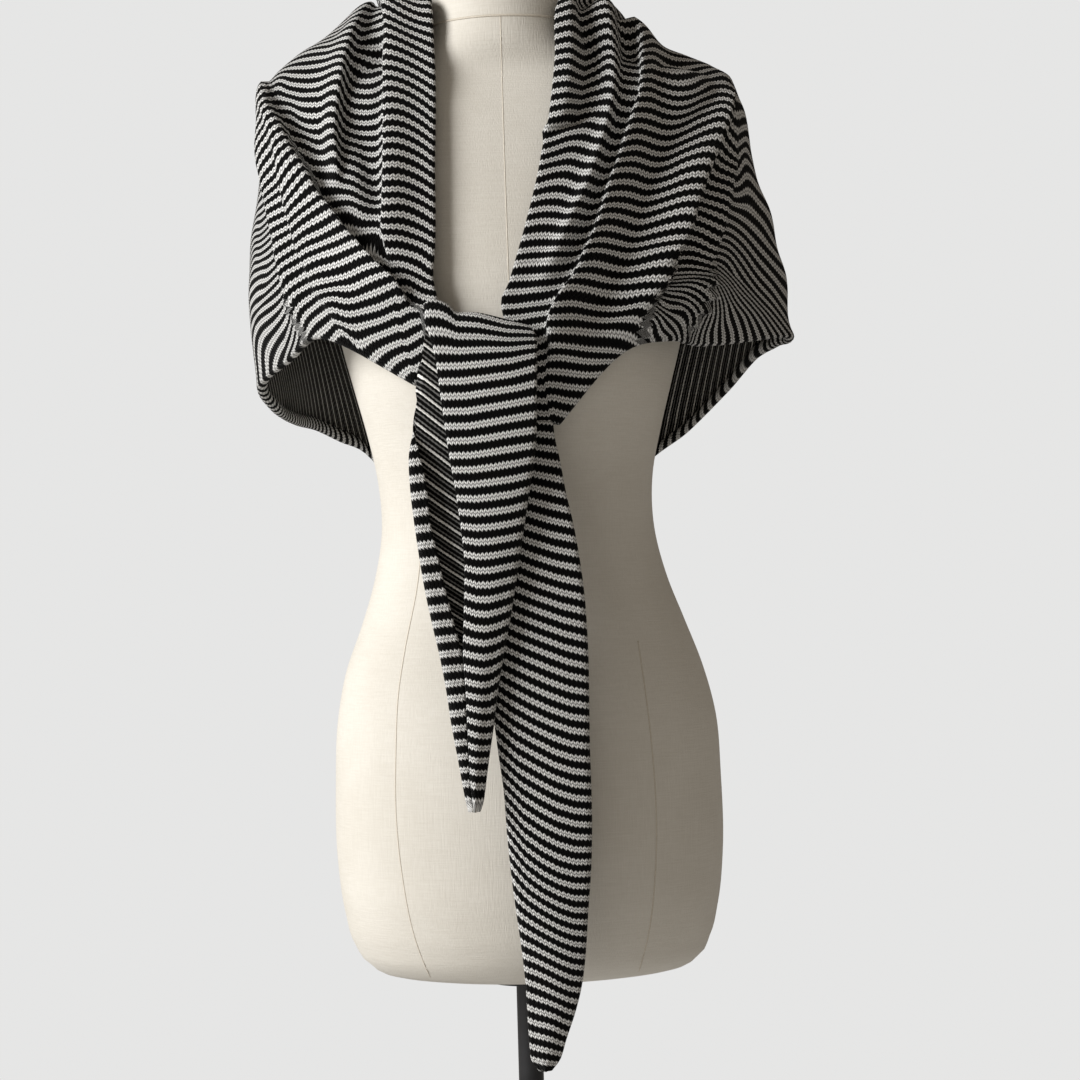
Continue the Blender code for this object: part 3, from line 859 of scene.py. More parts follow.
RIGHT_SHIFT = tuple(StripeShift(*row) for row in (
    (8, (0,) * 20),
    (10.5, (-38, -28, -24, -30, -42, -49, -46, -35, -18, 0, 13, 17, 16, 16, 18, 18, 14, 8, 1, -5)),
    (13, (-70, -53, -39, -48, -76, -96, -98, -78, -37, 6, 24, 25, 27, 32, 36, 33, 23, 11, 1, -6)),
    (15.5, (-82, -66, -43, -46, -82, -129, -161, -132, -56, 22, 26, 14, 30, 48, 53, 41, 20, 4, -2, -3)),
    (18, (-50, -30, -48, -13, -4, -127, -223, -171, -64, 2, -7, -13, 30, 64, 60, 27, -3, -12, -6, 7)),
    (20.5, (-9, -6, -37, 5, 61, -56, -165, -149, -70, -77, -72, -42, 8, 66, 31, -32, -48, -32, -6, 17)),
    (23, (-11, -22, -28, 9, 26, -53, -116, -121, -73, -116, -95, -30, 39, 5, -103, -141, -94, -39, -4, 17)),
    (25.5, (-26, -27, -3, 28, -9, -63, -104, -67, -30, -40, 3, 59, 49, -110, -250, -218, -109, -33, -9,
     -3)),
    (28, (-64, -15, 32, 19, -26, -39, -31, 21, 10, 0, 30, 53, 21, -161, -267, -245, -87, -40, -44, -42)),
    (30.5, (-54, 0, 20, -8, -24, -2, 43, 59, 21, 6, 36, 32, -61, -151, -212, -245, -119, -133, -111, -78)),
    (33, (-20, 11, 10, -24, -14, 6, 59, 66, 25, 27, 48, 26, -43, -97, -156, -159, -152, -159, -181, -91)),
    (35, (-10, 5, -1, -26, -6, 16, 64, 58, 14, 25, 36, 12, 1, -63, -95, -78, -110, -191, -211, -56)),
    (36.5, (-12, -3, -9, -22, 0, 24, 62, 45, 5, 13, 28, 27, 19, -51, -6, 27, -51, -126, -106, -85)),
    (38, (-18, -15, -19, -18, 5, 42, 59, 38, 12, 25, 31, -29, 49, 78, 73, 12, -73, 2, 0, -96)),
    (39.5, (-29, -29, -23, -14, 18, 57, 60, 45, 32, 50, 27, -64, 33, 123, 131, 22, 63, 124, 68, -50)),
    (41, (-30, -25, -9, 6, 27, 48, 44, 35, 34, 43, 6, -39, 42, 147, 146, 92, 121, 148, 97, 0)),
    (43, (-32, -5, 37, 62, 56, 51, 50, 55, 58, 49, 7, 5, 52, 115, 136, 136, 144, 141, 106, 49)),
    (45.5, (3, 29, 46, 40, 35, 34, 47, 68, 69, 51, 23, 31, 54, 84, 111, 130, 133, 123, 105, 82)),
    (49, (63, 62, 49, 38, 40, 43, 53, 64, 65, 45, 41, 47, 50, 57, 71, 87, 94, 96, 99, 106))))
LEFT_SHIFT = tuple(StripeShift(*row) for row in (
    (8, (0,) * 20),
    (10.5, (-16, 0, 20, 35, 28, -2, -27, -32, -15, 11, 31, 40, 38, 30, 20, 11, 4, -1, -5, -9)),
    (13, (-28, -12, 28, 66, 56, -13, -70, -67, -23, 32, 71, 84, 76, 58, 39, 23, 9, -1, -9, -16)),
    (15.5, (-37, -33, 19, 80, 52, -36, -129, -95, -15, 65, 118, 129, 110, 84, 58, 34, 14, 0, -9, -17)),
    (18, (-45, -15, 6, 35, 19, -17, -110, -86, 11, 99, 149, 158, 133, 107, 75, 44, 20, 5, -3, -10)),
    (20.5, (-76, -13, 34, 39, 0, -46, -32, -14, 39, 85, 98, 119, 146, 126, 85, 51, 29, 17, 12, 10)),
    (23, (-104, -15, 41, 32, -38, -108, -92, 28, 63, 69, 82, 114, 190, 123, 78, 56, 44, 39, 40, 43)),
    (25.5, (-120, -19, 29, -2, -92, -97, -94, 17, 91, 110, 150, 224, 169, 68, 58, 62, 67, 73, 81, 89)),
    (28, (-107, -23, 5, -38, -109, -90, -63, 30, 98, 182, 251, 185, 93, 71, 44, 60, 96, 122, 135, 139)),
    (30.5, (-85, -20, -13, -51, -80, -73, -1, 69, 142, 194, 137, 92, 101, 92, 14, 10, 111, 183, 193, 180)),
    (33, (-70, -12, -1, -43, -3, 10, 93, 126, 130, 104, 83, 59, 55, 45, 31, 63, 189, 246, 232, 196)),
    (35, (-69, -7, 10, -19, 62, 79, 124, 124, 108, 114, 92, 68, 45, 17, 18, 89, 157, 247, 234, 184)),
    (36.5, (-70, -8, 12, 2, 105, 113, 103, 92, 105, 114, 89, 78, 28, 7, 13, 60, 151, 241, 205, 158)),
    (38, (-65, 7, 22, 13, 65, 71, 65, 86, 118, 114, 110, 67, -19, -9, 50, 135, 206, 192, 159, 125)),
    (39.5, (-66, -4, 31, 11, 6, 11, 24, 65, 91, 88, 88, 39, 11, 63, 141, 187, 186, 154, 121, 89)),
    (41, (-80, -50, 6, -21, -46, -52, -48, 31, 33, 44, 51, 45, 55, 94, 153, 180, 161, 125, 90, 58)),
    (43, (-93, -75, -48, -85, -113, -111, -88, 9, -3, 8, 22, 43, 72, 105, 135, 142, 122, 89, 55, 23)),
    (45.5, (-111, -114, -127, -141, -133, -129, -133, -65, -40, -22, 2, 33, 64, 87, 96, 91, 72, 46, 18,
     -10)),
    (49, (-153, -152, -131, -68, -41, -73, -108, -116, -94, -60, -22, 12, 36, 45, 38, 23, 5, -13, -31, -49))))


@dataclass
class ScarfWrap:
    """The stretch from the left front over both shoulders and the back to the right front.

    tuck_middle and tuck_width place the jump of the stripes in a tuck, as shares of the fold's steep
    side. back_fade and hem_fade say where the stripes' shifts fade in or out and over how much, in pairs
    and in mm. The other sizes are in mm, but column_pairs in pairs and the turns in degrees.
    """
    face: bpy.types.Material
    purl: bpy.types.Material
    form: DressForm
    wall: float = 2.2
    rest: float = 1.6
    column_pairs: float = 0.42
    rows: int = 140
    roll_rows: int = 9
    hem_rolls: tuple[tuple[float, float], ...] = (
        (-38, 4.6), (-33, 7.6), (-22, 8), (-10, 6), (10, 6), (22, 8), (33, 7.6), (38, 4.6))
    trim: float = 4.6
    hem_turn: float = 235.0
    neck_roll: float = 3.4
    neck_turn: float = 150.0
    roll_tighter: float = 0.25
    tuck_middle: float = 0.95
    tuck_width: float = 0.5
    back_fade: tuple[float, float] = (6, 3)
    hem_fade: tuple[float, float] = (310, 170)
    clear_rounds: int = 6
    clear_step: float = 12.0
    sections: tuple[Section, ...] = tuple(Section(*row) for row in (
        (-48, (-54, -126, 1187), (-57, -126, 1183), (-60, -125, 1178), (-64, -124, 1173), (-68, -123, 1168),
         (-72, -121, 1162)),
        (-42, (-57, -122, 1222), (-84, -117, 1221), (-108, -109, 1218), (-125, -102, 1213),
         (-137, -95, 1207), (-145, -89, 1201)),
        (-39, (-60, -116, 1243), (-95, -108, 1250), (-130, -93, 1242), (-158, -74, 1230), (-174, -58, 1212),
         (-178, -45, 1186)),
        (-37, (-58, -110, 1265), (-92, -104, 1270), (-135, -84, 1264), (-175, -54, 1246), (-199, -28, 1224),
         (-204, -2, 1171)),
        (-34, (-57, -102, 1293), (-88, -98, 1300), (-140, -78, 1293), (-180, -42, 1276), (-206, -4, 1254),
         (-202, 38, 1156)),
        (-30, (-57, -91, 1331), (-88, -84, 1340), (-140, -66, 1331), (-182, -32, 1312), (-204, 6, 1297),
         (-187, 62, 1145)),
        (-26, (-56, -79, 1367), (-88, -71, 1373), (-146, -44, 1369), (-190, -12, 1369), (-200, 18, 1338),
         (-169, 78, 1140)),
        (-22, (-56, -66, 1402), (-87, -56, 1406), (-140, -26, 1411), (-188, -2, 1408), (-195, 30, 1372),
         (-149, 92, 1130)),
        (-18, (-57, -52, 1435), (-88, -40, 1442), (-138, -6, 1442), (-177, 18, 1425), (-184, 50, 1360),
         (-128, 104, 1120)),
        (-14, (-59, -38, 1466), (-88, -24, 1466), (-122, 8, 1463), (-150, 34, 1430), (-158, 72, 1345),
         (-104, 112, 1092)),
        (-8, (-66, 2, 1480), (-86, 16, 1474), (-106, 38, 1448), (-114, 68, 1395), (-98, 102, 1262),
         (-55, 118, 1040)),
        (0, (0, 72, 1492), (0, 84, 1478), (0, 96, 1430), (0, 106, 1360), (0, 116, 1180), (0, 120, 985)),
        (8, (66, 2, 1480), (84, 14, 1461), (102, 36, 1436), (110, 66, 1392), (96, 100, 1260),
         (55, 118, 1040)),
        (15, (45, -46, 1461), (80, -28, 1461), (119, 2, 1443), (148, 28, 1417), (153, 68, 1338),
         (107, 110, 1102)),
        (20, (42, -66, 1414), (78, -49, 1414), (148, -9, 1415), (178, 12, 1411), (184, 45, 1345),
         (147, 95, 1131)),
        (25, (36, -84, 1368), (78, -68, 1372), (156, -37, 1374), (187, -8, 1379), (198, 22, 1345),
         (179, 72, 1161)),
        (30, (28, -97, 1323), (78, -86, 1320), (153, -55, 1331), (182, -22, 1326), (209, 14, 1305),
         (203, 48, 1187)),
        (34, (17, -108, 1281), (75, -97, 1283), (152, -66, 1290), (186, -30, 1280), (221, 8, 1249),
         (221, 24, 1196)),
        (37, (8, -115, 1251), (70, -103, 1255), (150, -70, 1257), (180, -45, 1240), (202, -24, 1219),
         (221, -3, 1199)),
        (38.5, (3, -118, 1235), (55, -109, 1237), (115, -91, 1238), (147, -76, 1232), (157, -63, 1214),
         (151, -58, 1190)),
        (40, (-3, -121, 1219), (46, -114, 1220), (88, -101, 1219), (112, -93, 1219), (126, -87, 1210),
         (129, -83, 1194)),
        (43, (4, -124, 1187), (25, -122, 1186), (45, -117, 1186), (60, -112, 1185), (73, -107, 1184),
         (85, -101, 1182)),
        (49, (12, -122, 1131), (17, -122, 1131), (21, -122, 1130), (25, -122, 1130), (29, -121, 1129),
         (33, -120, 1128))))
    folds: tuple[Fold, ...] = (
        Fold("right border crest", 5, 8, 9, 0, ((8, 10, 0), (14, 10, 1), (25, 9, 1), (27.5, 4, 0))),
        Fold("right border trough", -9, 7, 7, 0, (
            (8, 16, 0), (14, 20, 1), (20, 31, 1), (24, 31, 1), (25.6, 27, 0.8), (26.6, 4, 0.6), (28, -5, 0))),
        Fold("right collar crest", 9, 8, 12, 4, (
            (8, 32, 0), (13, 37, 0.3), (16, 43, 0.8), (20, 50, 1), (24, 53, 1), (26.7, 50, 1), (29, 44, 1),
            (31.3, 40, 0.9), (36, 30, 0.6), (41, 18, 0))),
        Fold("right collar trough", -8, 7, 7, 0, (
            (8, 56, 0), (15, 58, 0.8), (21, 63, 1), (24, 63, 1), (28, 54, 1), (32, 47, 1), (36, 43, 0.8),
            (40, 36, 0))),
        Fold("right middle crest", 14, 5, 22, 10, (
            (6, 66, 0), (12, 70, 0.15), (15.5, 73, 0.3), (18, 76, 0.7), (21.3, 79, 1), (24.3, 79, 1),
            (27.4, 70, 1), (31, 61, 1), (34, 61, 1), (36.8, 57, 1), (39.3, 51, 0.9), (41.8, 34, 0.7),
            (46, 22, 0)),
            slip=((14, 0), (18, -0.3), (22, -0.7), (26, -0.7), (30, -0.7), (34, -0.6), (38, -0.1),
                  (42, 0.3))),
        Fold("right middle trough", -7, 18, 15, 0, (
            (10, 104, 0), (20, 105, 1), (24.3, 106, 1), (26.8, 101, 1), (29.4, 93, 1), (31.8, 87, 1),
            (34.2, 84, 1), (37.1, 81, 1), (39.4, 76, 1), (44, 58, 0))),
        Fold("right shoulder crest", 11, 18, 4.5, -7, (
            (19, 162, 0), (22, 156, 0.3), (24, 154, 0.7), (27, 146, 1), (29, 135, 1), (31, 128, 1),
            (33.4, 125, 1), (35.7, 123, 1), (37.6, 119, 1), (39.5, 115, 0.8), (41.5, 104, 0)),
            slip=((23, 0), (26, -0.6), (28, -0.7), (30, -0.8), (32, -0.9), (34, -0.8), (36, -0.7),
                  (37, -0.8), (38, 0.8), (39, 3.7), (40, 6.6), (41, 9.3))),
        Fold("right side crest", 8, 12, 4.5, -6, (
            (24, 172, 0), (27, 168, 0.3), (29.5, 164, 0.8), (31.7, 159, 1), (33.7, 158, 1), (35.7, 154, 1),
            (37, 153, 1), (38, 157, 1), (39.5, 166, 0.5), (40.5, 170, 0)),
            slip=((25, 0), (28, 0.2), (30, -0.1), (32, -0.2), (34, -0.3), (36, 0), (37, 0.6), (38, 4.2),
                  (38.5, 5.6), (39, 6.0), (40, 6.7))),
        Fold("left border crest", 11, 15, 4, -5, ((-6, 28, 0), (-13, 31, 1), (-36, 32, 1), (-40, 26, 0)),
            slip=((10, 0), (14, 1), (18, 1.9), (22, 2.3), (26, 2.7), (30, 2.6), (34, 1.9), (38, 0.2))),
        Fold("left border trough", -14, 8, 9, 0, (
            (-15, 46, 0), (-18, 48, 0.3), (-20, 50, 0.8), (-22, 52, 1), (-26, 55, 1), (-32, 50, 1),
            (-37, 42, 0))),
        Fold("left collar crest", 14, 5, 17, 9, (
            (-10, 46, 0), (-13, 53, 0.35), (-16, 61, 0.6), (-18, 68, 0.9), (-21, 78, 1), (-24, 82, 1),
            (-28, 83, 1), (-31, 80, 0.5), (-33, 76, 0))),
        Fold("left collar trough", -7, 10, 10, 0, (
            (-23, 100, 0), (-26, 104, 0.6), (-28, 100, 1), (-30, 94, 1), (-32, 86, 0))),
        Fold("left sling crest", 16, 5, 24, 13, (
            (-16, 176, 0), (-20, 163, 0.3), (-22, 154, 0.5), (-24, 147, 0.7), (-27, 129, 1), (-29.5, 112, 1),
            (-32.5, 97, 1), (-34, 87, 1), (-36, 72, 1), (-38.3, 56, 1), (-40.5, 36, 0.8), (-43, 15, 0)),
            slip=((20, 0), (22, -0.2), (24, -0.1), (26, 0.3), (28, 1.6), (30, 2.8), (32, 3.7), (34, 4.4),
                  (36, 5.7), (38, 6.6), (40, 7.6), (42, 8.6))),
        Fold("left sleeve crest", 6, 14, 5, -4, (
            (-23, 156, 0), (-25, 146, 0.6), (-28.6, 130, 1), (-31.9, 122, 1), (-35.5, 112, 1), (-38.4, 96, 1),
            (-41.4, 79, 0.7), (-44, 66, 0)),
            slip=((24, 0), (27, 0.5), (30, 1.1), (33, 1.1), (36, 0.7), (39, 0.5), (42, 0.2))),
        Fold("left side crest", 6, 12, 5, -4, (
            (-24, 172, 0), (-27, 161, 0.8), (-30.3, 150, 1), (-34.9, 139, 1), (-38.3, 126, 1),
            (-40.5, 120, 0)),
            slip=((25, 0), (29, 0), (31, 0.5), (34, 1.9), (37, 3.8), (40, 6.4))),
        Fold("back left drape", 8, 16, 22, 3, (
            (-19, 160, 0), (-15, 210, 1), (-10, 260, 1), (-4, 330, 1), (2, 430, 0))),
        Fold("back right drape", 8, 16, 22, 3, (
            (19, 150, 0), (15, 200, 1), (10, 250, 1), (4, 320, 1), (-2, 420, 0))),
        Fold("back yoke left", 6, 20, 24, 0, ((-20, 120, 0), (-14, 145, 1), (-8, 170, 1), (4, 195, 0))),
        Fold("back yoke right", 6, 20, 24, 0, ((20, 140, 0), (14, 175, 1), (9, 200, 1), (-4, 250, 0))),
        Fold("back hang left", 6, 18, 18, 0, ((-17, 260, 0), (-14, 310, 1), (-11, 360, 1), (-7, 430, 0))),
        Fold("back hang right", 6, 18, 18, 0, ((17, 250, 0), (14, 300, 1), (11, 350, 1), (7, 430, 0))))

    def relief(self, pairs: np.ndarray, distance: np.ndarray
               ) -> tuple[np.ndarray, np.ndarray, np.ndarray]:
        """Find how the folds move each point of the flat scarf.

        Args:
            pairs: Stripe pairs of each point.
            distance: Distance of each point from the neck edge, in mm.

        Returns:
            How far the folds lift the points and lean them towards the neck edge, in mm, and how many
            stripe pairs their tucks hide.
        """
        lift, lean, slip = (np.zeros_like(pairs) for _ in range(3))
        for fold in self.folds:
            stations, lines, shares = np.array(sorted(fold.route)).T
            line = np.interp(pairs, stations, lines)
            fade = smooth_step(np.interp(pairs, stations, shares))
            width = np.where(distance < line, fold.near, fold.far)
            bump = np.exp(-((distance - line) / width) ** 2) * fade
            lift += fold.height * bump
            lean += fold.lean * bump
            if fold.slip:
                side, steep = (-1, fold.near) if fold.lean > 0 else (1, fold.far)
                hidden = np.interp(np.abs(pairs), *np.array(fold.slip).T) * (pairs * stations[0] > 0)
                past = (distance - line - side * self.tuck_middle * steep) / (self.tuck_width * steep)
                slip += hidden * smooth_step(past + 0.5)
        return lift, lean, slip

    def shifted(self, pairs: np.ndarray, distance: np.ndarray, slip: np.ndarray) -> np.ndarray:
        """Find which stripe lies at each point once the cloth is draped.

        Args:
            pairs: Stripe pairs of each point on the flat scarf.
            distance: Distance of each point from the neck edge, in mm.
            slip: Stripe pairs that the folds' tucks hide.

        Returns:
            The stripe pairs that show there.
        """
        table = np.array([row.hundredths for row in LEFT_SHIFT[::-1] + RIGHT_SHIFT]) / 100
        stations = [-row.pairs for row in LEFT_SHIFT[::-1]] + [row.pairs for row in RIGHT_SHIFT]
        side = np.clip(pairs[:, 0], stations[0], stations[-1])
        start, run = self.back_fade
        rows = catmull_rom(stations, table, side) * smooth_step((np.abs(side) - start) / run)[:, None]
        reach = np.clip(distance, SHIFT_RUNS[0], SHIFT_RUNS[-1])
        shift = np.array([catmull_rom(SHIFT_RUNS, row, at) for row, at in zip(rows, reach)])
        start, run = self.hem_fade
        seen = 1 - smooth_step((distance - start) / run)
        return np.sign(pairs) * (np.abs(pairs) + (shift + slip) * seen)

    def clear(self, points: np.ndarray, clearance: float) -> np.ndarray:
        """Move the points that lie too close to the torso straight away from it.

        Args:
            points: The points in mm.
            clearance: The least distance from the torso in mm.

        Returns:
            The points, clear of the torso.
        """
        for _ in range(self.clear_rounds):
            reach = self.reach(points)
            slope = np.stack([(self.reach(points + step) - self.reach(points - step))
                              for step in 0.5 * np.eye(3)], axis=-1)
            steep = np.maximum(np.linalg.norm(slope, axis=-1), TINY)
            short = np.clip(clearance - (reach - 1) / steep, 0, self.clear_step)
            points = points + slope / steep[..., None] * short[..., None]
        return points

    def reach(self, points: np.ndarray) -> np.ndarray:
        """Find how far out points lie.

        Args:
            points: The points in mm.

        Returns:
            The distance of each from the torso's middle, as a share of the torso's radius there.
        """
        flat = points.reshape(-1, 3)
        shift, half, front, back, power = self.form.at(flat[:, 2]).T
        depth = np.where(flat[:, 1] < 0, front, back)
        inside = (np.abs(flat[:, 0] - shift) / half) ** power + (np.abs(flat[:, 1]) / depth) ** power
        result = np.maximum(inside, TINY) ** (1 / power)
        above = flat[:, 2] > self.form.levels[-1].z
        return np.where(above, 2.0, result).reshape(points.shape[:-1])

    def roll(self, edge: np.ndarray, normal: np.ndarray, outward: np.ndarray, radius: np.ndarray,
             turn: float) -> np.ndarray:
        """Carry an edge on in a roll towards the inside.

        Args:
            edge: The edge's points.
            normal: The outward normals there.
            outward: The directions that point beyond the edge.
            radius: The roll's radius at each point of the edge, in mm.
            turn: How far it rolls, in degrees.

        Returns:
            Rows of points that go on from the edge.
        """
        rows = []
        for row in range(1, self.roll_rows + 1):
            angle = math.radians(turn) * row / self.roll_rows
            size = radius[:, None] * (1 - self.roll_tighter * row / self.roll_rows)
            rows.append(edge + size * math.sin(angle) * outward - size * (1 - math.cos(angle)) * normal)
        return np.stack(rows, axis=1)

    def flat_grid(self) -> tuple[np.ndarray, np.ndarray, np.ndarray]:
        """Lay the sheet smoothly through the sections.

        Returns:
            Its points in mm, columns from the left tip to the right and rows from neck edge to hem, the
            stripe pairs of each point, and its distance from the neck edge in mm.
        """
        stations = np.array([section.pairs for section in self.sections])
        radii = np.interp(stations, *zip(*self.hem_rolls))
        spread = [even_curve(section[1:], self.rows, radius - self.trim)
                  for section, radius in zip(self.sections, radii)]
        index = np.arange(len(self.sections))
        steps = np.maximum(np.ceil(np.diff(stations) / self.column_pairs), 3).astype(int)
        fine = np.concatenate([index[:-1][place] + np.arange(count) / count
                               for place, count in enumerate(steps)] + [index[-1:]])
        grid = catmull_rom(index, np.array([points for points, _ in spread]), fine)
        distance = catmull_rom(index, np.array([run for _, run in spread]), fine)
        pairs = np.repeat(np.interp(fine, index, stations)[:, None], self.rows, axis=1)
        return grid, pairs, distance

    def surface(self) -> tuple[np.ndarray, np.ndarray]:
        """Work out the sheet's outer face, with its folds and its rolled edges.

        Returns:
            Its points in mm, columns from the right tip to the left and rows from neck edge to hem, and
            the stripe pairs and metres across at each of them.
        """
        grid, pairs, distance = self.flat_grid()
        normal, across = sheet_frames(grid)
        lift, lean, slip = self.relief(pairs, distance)
        grid = grid + normal * lift[..., None] - across * lean[..., None]
        normal, across = sheet_frames(grid)
        collar = np.full(len(grid), self.neck_roll)
        neck = self.roll(grid[:, 0], normal[:, 0], -across[:, 0], collar, self.neck_turn)
        hem_roll = np.interp(pairs[:, 0], *zip(*self.hem_rolls))
        hem = self.roll(grid[:, -1], normal[:, -1], across[:, -1], hem_roll, self.hem_turn)
        face = self.clear(np.concatenate([neck[:, ::-1], grid, hem], axis=1), self.wall + self.rest)
        share = np.arange(1, self.roll_rows + 1) / self.roll_rows
        neck_run = collar[:, None] * math.radians(self.neck_turn) * share[::-1]
        hem_run = hem_roll[:, None] * math.radians(self.hem_turn) * share
        run = np.concatenate([-neck_run, distance, distance[:, -1:] + hem_run], axis=1)
        count = self.shifted(pairs, distance, slip)
        count = np.pad(count, ((0, 0), (self.roll_rows, self.roll_rows)), mode="edge")
        return face[::-1], np.stack([count, run * MM], axis=-1)[::-1]

    def build(self) -> bpy.types.Object:
        """Build the sheet with its purl inside.

        Returns:
            The wrap.
        """
        grid, uv = self.surface()
        piece = knit_sheet("knit_wrap", grid, uv, self.wall, [self.face, self.purl])
        return place_piece(piece, "knit", "scarf_wrap")


class TailSection(NamedTuple):
    """One level of a tail, which hangs as a flattened tube that is open along its length.

    x runs from left to right, and y is the front layer's outer face. The short tail is open in front:
    its front layer ends at lip, and the back layer turns at the left and curls forward to curl. The
    long tail is open behind: its back layer ends at curl, and the right edge turns back to lip. gap
    parts the layers, tilt turns the face up where the tail comes over the knot, in degrees, and rise
    is how much higher the right edge of the section lies than its left. stripes counts the stripe pairs
    at even steps across the front layer, fitted to the photo, under the pairs where the short tail's
    back layer turns, and brow is the share of the wave in its upper rim.
    """
    z: float
    y: float
    tilt: float
    rise: float
    left: float
    curl: float
    lip: float
    right: float
    gap: float
    stripes: tuple[float, ...]
    under: float = 0.0
    brow: float = 0.0


class Opening(Enum):
    """Where a tail's tube is open."""
    FRONT = "front"
    BACK = "back"


@dataclass
class ScarfTail:
    """One hanging end of the scarf.

    turned is the least radius of its side edges. skew and skew_run say how the stripes run on round the
    edge into the back layer, curl_pairs and curl_run how they go on in the curl, in pairs and mm.
    """
    face: bpy.types.Material
    purl: bpy.types.Material
    name: str
    node: str
    opening: Opening
    sections: tuple[TailSection, ...]
    flat: tuple[float, float]
    area: float
    bulge: float = 3.0
    turned: float = 2.5
    skew: float = 0.063
    skew_run: float = 42.0
    curl_run: float = 20.0
    curl_pairs: float = 0.15
    wall: float = 2.2
    column: float = 3.5
    layer_rows: int = 20
    bend_rows: int = 10
    brow: tuple[tuple[float, float], ...] = (
        (-66, 2), (-60, 6), (-52, 6.4), (-45.3, 3.8), (-40.2, -2), (-34, -1), (-23.7, 0.4), (-3, -0.3),
        (15, 0))

    def outline(self, row: TailSection) -> np.ndarray:
        """Find the outer face of a section as if it were open in front.

        Args:
            row: The section.

        Returns:
            Its points, as x and the depth behind its front in mm.
        """
        bend = self.turned + row.gap / 2
        right, left = row.right - bend, row.left + bend
        share = np.linspace(0, 1, self.layer_rows + 1)
        bulge = self.bulge * 4 * share * (1 - share)
        hangs = self.opening is Opening.BACK
        points = [(row.lip + (right - row.lip) * at, 0 if hangs else -rise) for at, rise in zip(share, bulge)]
        points += self.turn(right, bend, 0, 180)
        points += [(right + (left - right) * at, 2 * bend + (rise if hangs else 0))
                   for at, rise in zip(share[1:], bulge[1:])]
        curled = 1 if hangs else min(1, max(0, (row.curl - row.left) / bend))
        points += self.turn(left, bend, 180, 182 + 178 * curled)
        last = points[-1]
        reach = max(row.curl - last[0], 0.3)
        return np.array(points + [(last[0] + reach * step / 4, last[1]) for step in range(1, 5)])

    def turn(self, middle: float, bend: float, start: float, end: float) -> list[tuple[float, float]]:
        """Return the points of a round turn between the layers, start and end in degrees."""
        return [(middle + bend * math.sin(angle), bend - bend * math.cos(angle))
                for angle in np.radians(np.linspace(start, end, self.bend_rows + 1)[1:])]

    def stripes(self, row: TailSection, points: np.ndarray) -> np.ndarray:
        """Count the stripe pairs round one section.

        Args:
            row: The section.
            points: Its outline, open in front.

        Returns:
            The stripe pairs at each point.
        """
        start = row.left if self.opening is Opening.BACK else row.lip
        share = (points[:, 0] - start) / (row.right - start)
        pairs = np.interp(share, np.linspace(0, 1, len(row.stripes)), row.stripes)
        if self.opening is Opening.BACK:
            return pairs
        run = np.concatenate([[0], np.cumsum(np.linalg.norm(np.diff(points, axis=0), axis=1))])
        front = self.layer_rows + self.bend_rows // 2
        turned = run[front + self.layer_rows + self.bend_rows]
        skewed = row.under - self.skew_run * self.skew
        behind = np.interp(run, (run[front], turned - self.skew_run, turned, turned + self.curl_run),
                           (row.stripes[-1], skewed, row.under, row.under + self.curl_pairs))
        return np.where(np.arange(len(points)) < front, pairs, behind)

    def surface(self) -> tuple[np.ndarray, np.ndarray]:
        """Work out the tail's outer face.

        Returns:
            Its points in mm, columns from the tip up and rows round the section, and the stripe pairs
            and metres across at each of them.
        """
        columns, counts = [], []
        for row in self.sections:
            points = self.outline(row)
            pairs = self.stripes(row, points)
            if self.opening is Opening.BACK:
                points, pairs = points[::-1] * (1, -1) + (0, 2 * self.turned + row.gap), pairs[::-1]
            tilt = math.radians(row.tilt)
            x, depth = points.T
            height = (row.z + (x - row.left) * row.rise / (row.right - row.left) - depth * math.sin(tilt)
                      + row.brow * np.interp(x, *zip(*self.brow)))
            columns.append(np.stack([x, row.y + depth * math.cos(tilt), height], axis=1))
            counts.append(pairs)
        levels = np.array([row.z for row in self.sections])
        steps = np.maximum(np.ceil(-np.diff(levels) / self.column), 2).astype(int)
        fine = np.concatenate([place + np.arange(count) / count for place, count in enumerate(steps)]
                              + [[len(levels) - 1]])
        index = np.arange(len(levels))
        grid = catmull_rom(index, np.array(columns), fine)
        pairs = catmull_rom(index, np.array(counts), fine)
        lengths = np.cumsum(np.linalg.norm(np.diff(grid, axis=1), axis=-1), axis=1)
        run = np.pad(lengths, ((0, 0), (1, 0)))
        return grid[::-1], np.stack([pairs, run * MM], axis=-1)[::-1]

    def build(self) -> bpy.types.Object:
        """Build the tail with its purl inside.

        Returns:
            The tail.
        """
        grid, uv = self.surface()
        piece = knit_sheet(self.name, grid, uv, self.wall, [self.face, self.purl])
        return place_piece(piece, "knit", self.node)


